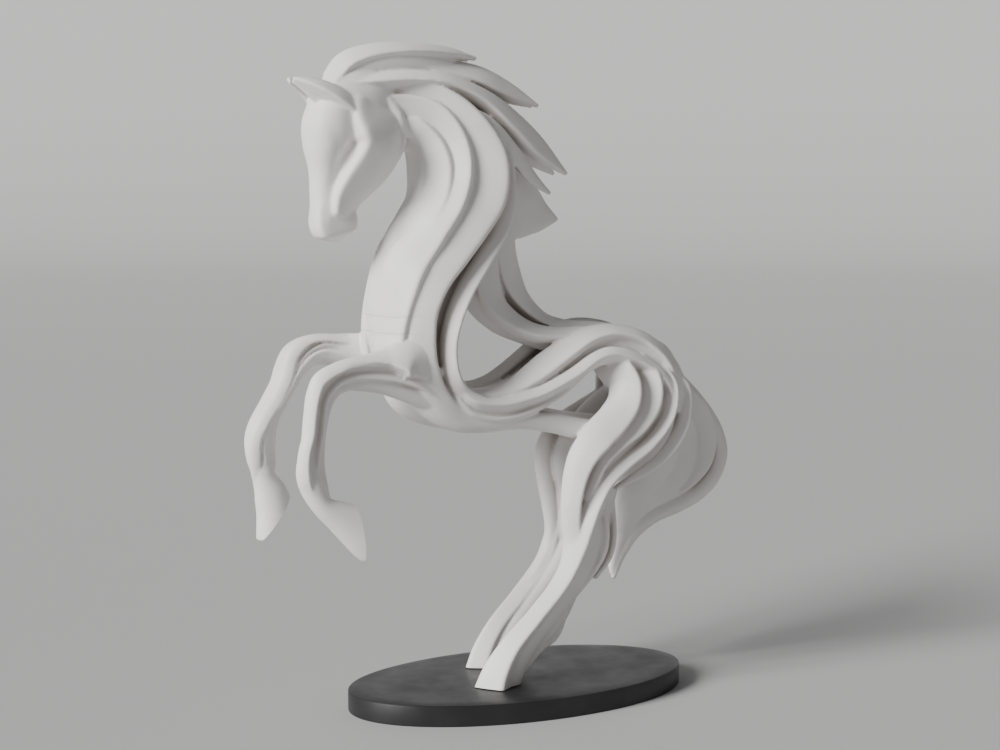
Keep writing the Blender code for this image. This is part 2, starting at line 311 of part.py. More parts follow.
tailRibbons = [
    ("tailOuter", "middle", 0, side, [
        (55, 0, 88, 5, 6), (61.5, 0, 82.5, 4.6, 6), (67, 0, 76.5, 4.4, 6), (70.8, 0, 70.5, 4.2, 6),
        (72.6, 0, 64, 4, 5.5), (70.5, 0, 57.5, 3.8, 5), (65.5, 0, 52.5, 3.6, 4.5), (58, 0, 49, 3.4, 4),
        (49, 0, 46, 3.2, 3.6), (42, 0, 41.5, 3, 3), (37, 0, 34.5, 2.2, 2.2), (34.5, 0, 26.5, 0.8, 0.8)]),
    ("tailMiddle", "middle", 0, side, [
        (48, 0, 84, 7, 7), (56, 0, 76, 8, 6), (60, 0, 67, 9, 5), (57, 0, 59.5, 9, 4.5),
        (50, 0, 55, 8, 4), (43, 0, 50, 6, 3.5), (38, 0, 43, 4.5, 3), (35, 0, 35, 2.8, 2.2),
        (34, 0, 28, 0.8, 0.8)]),
    ("tailInner", "middle", 0, side, [
        (46, 0, 80, 8, 7), (50, 0, 68, 9, 6), (46, 0, 58, 8, 5), (40, 0, 49, 6.5, 4), (36, 0, 41, 4, 3)]),
    ("tailSide", "both", -1, side, [
        (57, -4, 86, 2.6, 2), (63, -5, 79, 3, 2), (66, -5, 71, 3, 2), (65.5, -4.5, 63, 2.6, 1.8),
        (62, -3.5, 57, 1.8, 1.4), (57, -3, 53, 1, 1)]),
]

# Rounded masses: name, sides, middle, half-sizes.
headMasses = ("brow", "forehead", "temple", "poll", "lips")
masses = [
    ("brow", "both", (-61.3, -4.2, 168.5), (6.3, 4.9, 8.5)),
    ("forehead", "middle", (-63, 0, 169), (6.6, 6.3, 10)),
    ("temple", "both", (-56, -5.6, 172.5), (4.6, 3.2, 4.4)),
    ("poll", "middle", (-51, 0, 178), (11, 7, 7.5)),
    ("lips", "middle", (-60.8, 0, 139.4), (5.8, 4.8, 5)),
    ("rump", "both", (44, -5, 91), (10, 8, 12)),
]


def smoothCurve(stations):
    """Catmull-Rom through the stations: every value of a station is blended alike."""
    controls = np.array(stations, dtype=float)
    padded = np.vstack([2 * controls[0] - controls[1], controls, 2 * controls[-1] - controls[-2]])
    samples = []
    for span in range(len(controls) - 1):
        p0, p1, p2, p3 = padded[span:span + 4]
        for k in range(pointsPerSpan):
            t = k / pointsPerSpan
            samples.append(0.5 * (2 * p1 + (p2 - p0) * t + (2 * p0 - 5 * p1 + 4 * p2 - p3) * t ** 2
                                  + (3 * p1 - p0 - 3 * p2 + p3) * t ** 3))
    samples.append(controls[-1])
    return np.array(samples)


def blendPair(value, share):
    """A value, or a pair of them blended from the ribbon's start to its end."""
    first, last = np.array(value if isinstance(value, list) else [value, value], dtype=float)
    return first * (1 - share) + last * share


def ribbonSections(crisp, share):
    """Unit outline across a ribbon at each of its rings: soft at one edge, square and thick at a crisp edge."""
    angle = np.linspace(0, 2 * np.pi, ringPoints, endpoint=False)
    c = np.cos(angle)
    s = np.sin(angle)
    ends = crisp if isinstance(crisp, list) else [crisp, crisp]
    upper = blendPair([edge in (1, 2) for edge in ends], share)
    lower = blendPair([edge in (-1, 2) for edge in ends], share)
    square = np.clip(2 * c, 0, 1) * upper + np.clip(-2 * c, 0, 1) * lower
    power = 2 / (roundSquareness + (crispSquareness - roundSquareness) * square)
    across = np.sign(c) * np.abs(c) ** power
    outward = np.sign(s) * np.abs(s) ** power * (1 + crispLift * (upper - lower) * across)
    return across, outward


def ribbonShell(stations, facing, crisp):
    """Closed loft of ribbon sections along the stations, in grid steps."""
    curve = smoothCurve(stations)
    middle = curve[:, :3]
    halfWidth = curve[:, 3]
    halfThick = curve[:, 4]
    tangent = np.gradient(middle, axis=0)
    tangent /= np.linalg.norm(tangent, axis=1)[:, None]
    share = np.linspace(0, 1, len(middle))[:, None]
    looking = blendPair(facing, share)
    normal = looking - (tangent * looking).sum(axis=1)[:, None] * tangent
    normal /= np.linalg.norm(normal, axis=1)[:, None]
    across = np.cross(tangent, normal)
    sectionAcross, sectionOut = ribbonSections(crisp, share)
    rings = (middle[:, None, :]
             + halfWidth[:, None, None] * sectionAcross[:, :, None] * across[:, None, :]
             + halfThick[:, None, None] * sectionOut[:, :, None] * normal[:, None, :])
    startCap = middle[0] - tangent[0] * min(halfWidth[0], halfThick[0]) * capShare
    endCap = middle[-1] + tangent[-1] * min(halfWidth[-1], halfThick[-1]) * capShare
    points = np.vstack([rings.reshape(-1, 3), startCap, endCap])
    faces = []
    count = len(middle)
    for i in range(count - 1):
        for j in range(ringPoints):
            nextJ = (j + 1) % ringPoints
            faces.append((i * ringPoints + j, i * ringPoints + nextJ,
                          (i + 1) * ringPoints + nextJ, (i + 1) * ringPoints + j))
    first = count * ringPoints
    last = (count - 1) * ringPoints
    for j in range(ringPoints):
        nextJ = (j + 1) % ringPoints
        faces.append((first, nextJ, j))
        faces.append((first + 1, last + j, last + nextJ))
    return points, faces


def massShell(middle, halfSizes):
    """Closed ellipsoid, in grid steps."""
    mesh = bmesh.new()
    bmesh.ops.create_uvsphere(mesh, u_segments=massSegments, v_segments=massRings, radius=1)
    points = np.array([v.co[:] for v in mesh.verts]) * np.array(halfSizes) + np.array(middle)
    faces = [tuple(v.index for v in f.verts) for f in mesh.faces]
    mesh.free()
    return points, faces


def mirrored(points, faces):
    return points * np.array([1, -1, 1]), [tuple(reversed(face)) for face in faces]


def strideBack(stations):
    """The right hind leg stands further back and out: its stations move so from the hip down."""
    moved = []
    for x, y, z, halfWidth, halfThick in stations:
        share = min(max((strideTop - z) / strideDrop, 0), 1)
        moved.append((x + strideLength * share, y - strideOut * share, z, halfWidth, halfThick))
    return moved


def gatherShells(groups, lumps):
    """Ribbons and masses as one list of points and faces."""
    shells = []
    for group in groups:
        for _, sides, crisp, facing, stations in group:
            shells.append(ribbonShell(stations, facing, crisp))
            if sides == "both":
                shells.append(mirrored(*shells[-1]))
            if sides == "stride":
                shells.append(mirrored(*ribbonShell(strideBack(stations), facing, crisp)))
    for _, sides, middle, halfSizes in lumps:
        shell = massShell(middle, halfSizes)
        shells.append(shell)
        if sides == "both":
            shells.append(mirrored(*shell))
    points = []
    faces = []
    offset = 0
    for shellPoints, shellFaces in shells:
        points.append(shellPoints)
        faces.extend(tuple(index + offset for index in face) for face in shellFaces)
        offset += len(shellPoints)
    return np.vstack(points), faces


def plasticMaterial(name, colour, roughness):
    material = bpy.data.materials.new(name)
    material.use_nodes = True
    shader = material.node_tree.nodes["Principled BSDF"]
    shader.inputs["Base Color"].default_value = (*colour, 1)
    shader.inputs["Roughness"].default_value = roughness
    shader.inputs["Metallic"].default_value = 0
    return material


def evaluatedMesh(obj):
    graph = bpy.context.evaluated_depsgraph_get()
    return bpy.data.meshes.new_from_object(obj.evaluated_get(graph), depsgraph=graph)


def meshFrom(name, points, faces):
    mesh = bpy.data.meshes.new(name)
    mesh.from_pydata(points.tolist(), [], faces)
    return mesh


def skin(obj, rounds):
    """Fuse what the object holds into one skin and smooth it."""
    fuse = obj.modifiers.new("fuse", "REMESH")
    fuse.mode = "VOXEL"
    fuse.voxel_size = skinCell * step
    fuse.adaptivity = 0
    smooth = obj.modifiers.new("smooth", "SMOOTH")
    smooth.factor = 0.5
    smooth.iterations = rounds
    fused = evaluatedMesh(obj)
    obj.modifiers.clear()
    obj.data = fused


def softHead():
    """The head without its ears, fused and smoothed by itself so that its forms run together."""
    points, faces = gatherShells([headRibbons], [lump for lump in masses if lump[0] in headMasses])
    head = bpy.data.objects.new("softHead", meshFrom("softHead", points * step, faces))
    bpy.context.scene.collection.objects.link(head)
    skin(head, headSmoothRounds)
    points = np.array([v.co[:] for v in head.data.vertices]) / step
    faces = [tuple(p.vertices) for p in head.data.polygons]
    bpy.data.objects.remove(head, do_unlink=True)
    return points, faces


def buildHorse():
    groups = [neckRibbons, maneRibbons, backRibbons, barrelRibbons, haunchRibbons, legRibbons, hoofRibbons,
              earRibbons, tailRibbons]
    points, faces = gatherShells(groups, [lump for lump in masses if lump[0] not in headMasses])
    headPoints, headFaces = softHead()
    faces.extend(tuple(index + len(points) for index in face) for face in headFaces)
    points = np.vstack([points, headPoints])
    place = points * step + np.array([0, 0, soleHeight])
    horse = bpy.data.objects.new("horse", meshFrom("horse", place, faces))
    bpy.context.scene.collection.objects.link(horse)
    skin(horse, smoothRounds)
    triangles = sum(len(p.vertices) - 2 for p in horse.data.polygons)
    thin = horse.modifiers.new("thin", "DECIMATE")
    thin.ratio = skinFaces / triangles
    thin.use_collapse_triangulate = True
    thinned = evaluatedMesh(horse)
    horse.modifiers.clear()
    horse.data = thinned
    cutSoles(horse.data)
    horse.data.materials.append(plasticMaterial("whitePlastic", (0.86, 0.84, 0.82), 0.55))
    return horse


def cutFlat(work, faces, point, outward):
    """Cut these faces off beyond a plane and close the cut with a flat face."""
    edges = list({edge for face in faces for edge in face.edges})
    verts = list({vert for face in faces for vert in face.verts})
    cut = bmesh.ops.bisect_plane(work, geom=verts + edges + faces, plane_co=point, plane_no=outward,
                                 clear_outer=True, dist=weldSize)
    rim = [item for item in cut["geom_cut"] if isinstance(item, bmesh.types.BMEdge)]
    bmesh.ops.holes_fill(work, edges=rim, sides=0)


def cutSoles(mesh):
    """All four hooves get flat soles: the hind ones where the figure stands, the raised ones at a slant."""
    work = bmesh.new()
    work.from_mesh(mesh)
    cutFlat(work, work.faces[:], (0, 0, soleHeight), (0, 0, -1))
    for toe, heel, ySign in raisedSoles:
        middle = np.array([(toe[0] + heel[0]) / 2, 0, (toe[1] + heel[1]) / 2]) * step + (0, 0, soleHeight)
        outward = (heel[1] - toe[1], 0, toe[0] - heel[0])
        near = [face for face in work.faces if face.calc_center_median().y * ySign > 0
                and np.linalg.norm((face.calc_center_median() - Vector(middle)).xz) < soleReach * step]
        cutFlat(work, near, middle, outward)
    bmesh.ops.triangulate(work, faces=work.faces[:])
    work.to_mesh(mesh)
    work.free()


def buildDisc():
    """Oval disc: a straight wall below, a shallow sloping rim above."""
    work = bmesh.new()
    levels = [(0, 0.0), (0, discThickness - rimBevel), (rimSlope, discThickness)]
    rings = []
    for inset, height in levels:
        ring = []
        for k in range(discSides):
            angle = 2 * np.pi * k / discSides
            ring.append(work.verts.new(((discLength / 2 - inset) * np.cos(angle),
                                        (discWidth / 2 - inset) * np.sin(angle), height)))
        rings.append(ring)
    for lower, upper in zip(rings, rings[1:]):
        for k in range(discSides):
            n = (k + 1) % discSides
            work.faces.new((lower[k], lower[n], upper[n], upper[k]))
    work.faces.new(list(reversed(rings[0])))
    work.faces.new(rings[-1])
    mesh = bpy.data.meshes.new("base")
    work.to_mesh(mesh)
    work.free()
    disc = bpy.data.objects.new("base", mesh)
    bpy.context.scene.collection.objects.link(disc)
    disc.data.materials.append(plasticMaterial("blackPlastic", (0.018, 0.018, 0.02), 0.45))
    return disc


def main():
    for obj in list(bpy.data.objects):
        bpy.data.objects.remove(obj, do_unlink=True)
    buildDisc()
    buildHorse()


main()
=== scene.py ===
import json
from math import cos, pi, radians, sin

import bpy
import numpy as np
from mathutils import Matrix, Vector

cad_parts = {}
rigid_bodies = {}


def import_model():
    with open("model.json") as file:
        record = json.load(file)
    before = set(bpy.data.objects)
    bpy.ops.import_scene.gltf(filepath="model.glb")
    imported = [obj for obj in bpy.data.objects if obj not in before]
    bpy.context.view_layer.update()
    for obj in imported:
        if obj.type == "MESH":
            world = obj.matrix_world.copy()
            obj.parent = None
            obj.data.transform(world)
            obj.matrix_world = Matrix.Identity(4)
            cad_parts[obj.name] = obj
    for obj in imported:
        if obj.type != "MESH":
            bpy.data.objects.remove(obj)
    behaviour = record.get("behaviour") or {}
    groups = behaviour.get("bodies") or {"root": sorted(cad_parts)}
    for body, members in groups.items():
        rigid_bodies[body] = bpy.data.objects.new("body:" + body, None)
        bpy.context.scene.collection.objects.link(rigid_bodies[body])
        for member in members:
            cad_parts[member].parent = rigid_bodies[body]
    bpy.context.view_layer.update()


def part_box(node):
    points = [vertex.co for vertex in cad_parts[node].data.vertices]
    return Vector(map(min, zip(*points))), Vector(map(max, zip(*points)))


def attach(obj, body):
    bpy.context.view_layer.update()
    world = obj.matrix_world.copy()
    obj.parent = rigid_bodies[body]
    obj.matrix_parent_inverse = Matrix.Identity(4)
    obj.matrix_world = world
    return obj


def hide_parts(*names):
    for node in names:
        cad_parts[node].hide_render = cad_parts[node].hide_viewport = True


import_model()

print("stage: frame loaded")


def selectOnly(*pieces):
    bpy.ops.object.select_all(action="DESELECT")
    for piece in pieces:
        piece.select_set(True)
    bpy.context.view_layer.objects.active = pieces[0]


def finishWith(piece, kind, **settings):
    # add one modifier and apply it at once
    selectOnly(piece)
    modifier = piece.modifiers.new(kind, kind)
    for name, value in settings.items():
        setattr(modifier, name, value)
    bpy.ops.object.modifier_apply(modifier=modifier.name)


def joinPieces(pieces, name):
    selectOnly(*pieces)
    bpy.ops.object.join()
    pieces[0].name = name
    pieces[0].data.name = name
    return pieces[0]


def pick(piece, kind, wanted):
    # enter edit mode with only the wanted vertices, edges or faces selected
    selectOnly(piece)
    bpy.ops.object.mode_set(mode="EDIT")
    bpy.ops.mesh.select_mode(type=kind)
    bpy.ops.mesh.select_all(action="DESELECT")
    bpy.ops.object.mode_set(mode="OBJECT")
    mesh = piece.data
    parts = {"VERT": mesh.vertices, "EDGE": mesh.edges, "FACE": mesh.polygons}[kind]
    for part in parts:
        part.select = bool(wanted(part))
    bpy.ops.object.mode_set(mode="EDIT")


def leaveEdit():
    bpy.ops.object.mode_set(mode="OBJECT")


def makeNode(tree, kind, inputs=None, **settings):
    node = tree.nodes.new(kind)
    for name, value in settings.items():
        setattr(node, name, value)
    for socket, value in (inputs or {}).items():
        if isinstance(value, bpy.types.NodeSocket):
            tree.links.new(value, node.inputs[socket])
        else:
            node.inputs[socket].default_value = value
    return node


def makeMaths(tree, operation, first, second=0.0, third=0.0):
    node = makeNode(tree, "ShaderNodeMath", {0: first, 1: second, 2: third}, operation=operation)
    return node.outputs[0]


def fadeRange(tree, value, low, high):
    # 0 below low, 1 above high, soft between
    node = makeNode(tree, "ShaderNodeMapRange", {"Value": value, "From Min": low, "From Max": high},
                    interpolation_type="SMOOTHSTEP")
    return node.outputs["Result"]


def mixTones(tree, share, first, second, blend="MIX"):
    node = makeNode(tree, "ShaderNodeMix", {"Factor": share}, data_type="RGBA", blend_type=blend)
    for socket, value in (("A", first), ("B", second)):
        target = [s for s in node.inputs if s.name == socket and s.type == "RGBA"][0]
        if isinstance(value, bpy.types.NodeSocket):
            tree.links.new(value, target)
        else:
            target.default_value = value
    return [s for s in node.outputs if s.type == "RGBA"][0]


def makeNoise(tree, place, scale, detail=2.0, roughness=0.5):
    node = makeNode(tree, "ShaderNodeTexNoise", {"Vector": place, "Scale": scale, "Detail": detail,
                                                 "Roughness": roughness})
    return node.outputs["Fac"]


def addBump(tree, height, distance, strength, before=None):
    inputs = {"Height": height, "Distance": distance, "Strength": strength}
    if before is not None:
        inputs["Normal"] = before
    return makeNode(tree, "ShaderNodeBump", inputs).outputs["Normal"]


def wanderRough(tree, place, v):
    # roughness that drifts between its two ends
    drift = makeNoise(tree, place, v["roughScale"], v["roughDetail"], 0.6)
    low, high = v["roughFade"]
    node = makeNode(tree, "ShaderNodeMapRange", {"Value": drift, "From Min": low, "From Max": high,
                                                 "To Min": v["roughLow"], "To Max": v["roughHigh"]})
    return node.outputs["Result"]


def newMaterial(name):
    material = bpy.data.materials.new(name)
    material.use_nodes = True
    tree = material.node_tree
    shader = tree.nodes["Principled BSDF"]
    place = makeNode(tree, "ShaderNodeTexCoord").outputs["Object"]
    return material, tree, shader, place


# the horse is made of ribbons, lofted through chosen stations and fused into one skin
horseValues = {
    "figureHeight": 0.192,      # soles to the top of the mane, 192 grid steps
    "skinCell": 0.37,           # size of the fusing grid, in steps
    "skinFaces": 188000,
    "smoothFactor": 0.5,
    "smoothRounds": 3,
    "headSmoothRounds": 26,
    "pointsPerSpan": 10,
    "ringPoints": 40,
    "crispSquareness": 6,       # exponent of a ribbon's squared edge
    "crispLift": 0.35,          # how much thicker that edge is than the middle
    "roundSquareness": 2,
    "capShare": 0.7,            # how far a ribbon's end cap stands out
    "sphereSegments": 32,
    "sphereRings": 20,
    "strideLength": 8.5,        # the right hind leg stands further back and out, in steps
    "strideOut": 1.7,
    "strideTop": 90,
    "strideDrop": 38,
    "soleReach": 13,            # how far around a raised sole its cut works, in steps
    "weldSize": 0.00001,        # points closer than this to a cut count as on it
}

step = horseValues["figureHeight"] / 192
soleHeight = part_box("horse")[0].z

# directions a ribbon's broad face can look in (left side; the right-hand copy is mirrored)
side = (0.0, -1.0, 0.0)
forwardSide = (-0.35, -0.93, 0.0)
upSide = (-0.25, -0.80, 0.55)
rearSide = (0.30, -0.95, 0.0)
legFront = (-0.80, -0.55, 0.25)

# Each ribbon: name, which sides it is on, its crisp edge, the way its face looks, and its stations.
# The crisp edge is 1 or -1 for one side of the ribbon, 0 for none and 2 for both; a pair runs from start to end.
# A station is x, y, z, half the width and half the thickness, all in grid steps.
neckRibbons = [
    ("neckCore", "middle", 0, side, [
        (-46, 0, 172, 8, 3.5), (-38, 0, 173, 11, 4.8), (-28, 0, 168.5, 13, 6.2), (-21.5, 0, 160, 14, 7.2),
        (-21, 0, 149.5, 14.3, 7.8), (-25, 0, 139, 15, 8.4), (-30.5, 0, 128.5, 16, 9.2),
        (-35, 0, 118.5, 15, 10.2), (-36.5, 0, 108, 13, 11), (-35, 0, 97, 11, 12)]),
    ("throat", "middle", 0, (-0.85, 0, 0.50), [
        (-39, 0, 169, 3.6, 2.4), (-35.2, 0, 161.5, 4.2, 2.6), (-34, 0, 154, 4.8, 2.8),
        (-34.4, 0, 147.3, 5, 2.8), (-37.7, 0, 139.5, 5.2, 3), (-42, 0, 131.5, 5.2, 3),
        (-45.9, 0, 122.5, 5, 3), (-47.4, 0, 115, 4.8, 3), (-46.9, 0, 108, 4.6, 3),
        (-45, 0, 101, 4.2, 3)]),
    ("neckLobe1", "both", -1, (-0.75, -0.66, 0), [
        (-43, -3.5, 167.5, 2.5, 1.8), (-37, -4.6, 167.3, 3.5, 2.2), (-32.2, -5.2, 163, 4.6, 2.4),
        (-29.9, -5.8, 156, 5.4, 2.6), (-31.4, -6.1, 148, 5.7, 2.6), (-36, -6.4, 139.8, 5.7, 2.5),
        (-41, -5.6, 130.5, 5, 1.8), (-43.5, -7.8, 120.5, 4.2, 1.6), (-44.2, -9.2, 110, 4, 1.6),
        (-43.4, -9.3, 101, 4, 1.6)]),
    ("neckLobe2", "both", -1, [(-0.42, -0.9, 0), (-0.85, -0.53, 0)], [
        (-46.5, -3.5, 174.5, 2.5, 1.8), (-38.8, -5.2, 173.4, 3.9, 2.2), (-31.2, -7.3, 170.3, 4.3, 2.5),
        (-26, -9.2, 163.2, 4.1, 2.6), (-25.1, -10, 154.6, 4.4, 2.6), (-28.3, -10.3, 145.4, 4.8, 2.6),
        (-34.2, -10.3, 137, 5, 2.7), (-40.9, -8.6, 128.8, 6.9, 2.8), (-44.5, -8, 119, 6.9, 2.7),
        (-46.3, -7.8, 110, 6.3, 2.6), (-46.4, -7.2, 102, 5.6, 2.4), (-43.5, -6.5, 94, 5, 2)]),
    ("neckLobe3", "both", [-1, 2], (-0.30, -0.95, 0), [
        (-43, -3.5, 179.6, 2.5, 2), (-33.8, -5.8, 176.6, 4.4, 2.5), (-26.6, -8, 171.4, 6, 2.8),
        (-21, -9.8, 164.4, 7, 3), (-18.2, -10.9, 157, 7.8, 3), (-18.9, -11.4, 148.4, 7.8, 3),
        (-24, -11.8, 140.6, 7.6, 3), (-30.3, -12, 132, 7, 3), (-35.6, -12.4, 123.4, 5.6, 3),
        (-38.5, -12.6, 114.5, 4.4, 3), (-39.2, -12.7, 106, 4.2, 3), (-38, -12.4, 98, 4, 2.8),
        (-34.5, -11.7, 90.5, 3.5, 2.6), (-28.5, -11.2, 84.5, 2.8, 2.4), (-19, -11, 81.5, 1.8, 2)]),
    ("neckLobe4", "both", -1, (-0.35, -0.94, 0), [
        (-15, -6, 170, 2.5, 2), (-10.5, -7.5, 160, 3.2, 2.4), (-9.5, -8.7, 149, 3.4, 2.6),
        (-12.5, -10, 138, 3.2, 2.8), (-18.9, -11.4, 128.5, 2.9, 2.8), (-24.8, -12.3, 120, 2.8, 2.9),
        (-28.9, -13, 111.5, 2.7, 2.9), (-30.7, -13.3, 103.5, 2.6, 2.9), (-29.5, -13, 95.5, 2.6, 2.7),
        (-25.5, -12, 89.5, 2.8, 2.4), (-18, -12, 86.2, 2.2, 2.2), (-8, -12, 85.5, 1.6, 1.8)]),
]

maneRibbons = [
    ("forelock", "middle", 0, side, [
        (-60, 0, 179, 5, 4), (-54, 0, 184, 5, 5), (-46, 0, 186, 5, 5.6), (-36.5, 0, 186.3, 5, 5.4),
        (-26, 0, 184, 5, 4.5), (-16, 0, 178, 5, 4), (-9, 0, 168, 5, 4), (-8, 0, 156, 6, 4)]),
    ("mane1", "both", 1, upSide, [
        (-62, -1, 181, 3, 2), (-57, -2, 186.5, 3.4, 2), (-47.5, -3, 189.6, 3, 1.8),
        (-36.5, -3.5, 190.4, 2.4, 1.6), (-25.5, -3, 190, 1.9, 1.3), (-16, -2.5, 188.5, 0.6, 0.6)]),
    ("mane2", "both", 1, upSide, [
        (-40, -1, 187, 3, 2), (-27.5, -2, 185.5, 3.5, 2), (-15, -2.5, 183.3, 3.8, 1.8),
        (-4.5, -2, 179.3, 3.2, 1.5), (5.5, -2, 175, 0.6, 0.6)]),
    ("mane3", "both", 1, upSide, [
        (-58, -2.5, 180.5, 2.5, 2), (-48.5, -4.8, 181.5, 2.8, 2), (-38, -6.3, 182, 2.6, 2),
        (-27, -7, 181, 2.6, 2), (-15, -7, 176.5, 3, 2), (-5, -6.5, 169.5, 3.8, 2),
        (4.5, -5, 162, 3.8, 1.7), (14.5, -4, 154.5, 0.6, 0.6)]),
    ("mane4", "both", 1, forwardSide, [
        (-26, -6.5, 172.5, 1.4, 1.4), (-19.5, -8.8, 171.5, 1.9, 1.6), (-13, -9.6, 167, 2.2, 1.6),
        (-5.5, -8.5, 159.5, 2.2, 1.6), (1, -7, 153, 1.8, 1.4), (7.5, -6, 148.5, 0.6, 0.6)]),
    ("maneFin", "middle", 0, side, [
        (-14, 0, 156, 10, 4), (-6.5, 0, 149.5, 12, 3), (-0.5, 0, 144.5, 11, 2), (6, 0, 142, 6.5, 1.4),
        (10.5, 0, 141, 3, 1), (13.5, 0, 140.5, 0.6, 0.6)]),
]

backRibbons = [
    ("backTop", "middle", 1, upSide, [
        (-5.5, 1, 139, 4, 3), (-4.5, 1, 130, 4, 3), (-2, 1, 121.5, 4, 3), (2, 1, 115, 3.5, 3),
        (8.5, 0.5, 109.4, 3, 3), (16.5, 0, 106.8, 3, 3), (25.5, 0, 105.8, 3, 4), (33, 0, 104.6, 3, 5)]),
    ("backMid", "both", 1, upSide, [
        (-11.5, -1.5, 133, 3.5, 2), (-12.5, -2.5, 125.5, 4, 2), (-11.5, -3.5, 117.5, 4, 2),
        (-7, -4.5, 111.8, 3.6, 2), (0.5, -5.5, 107.3, 3, 2), (10, -6, 105.5, 2.5, 2),
        (19.5, -6, 106, 2, 2)]),
    ("backLow", "middle", 0, side, [
        (-14.5, 0, 128, 7, 3), (-12.5, 0, 118.5, 7, 3), (-7, 0, 111, 5, 3.2), (1.5, 0, 106, 3.5, 4.5),
        (11, 0, 103, 3.5, 7)]),
]

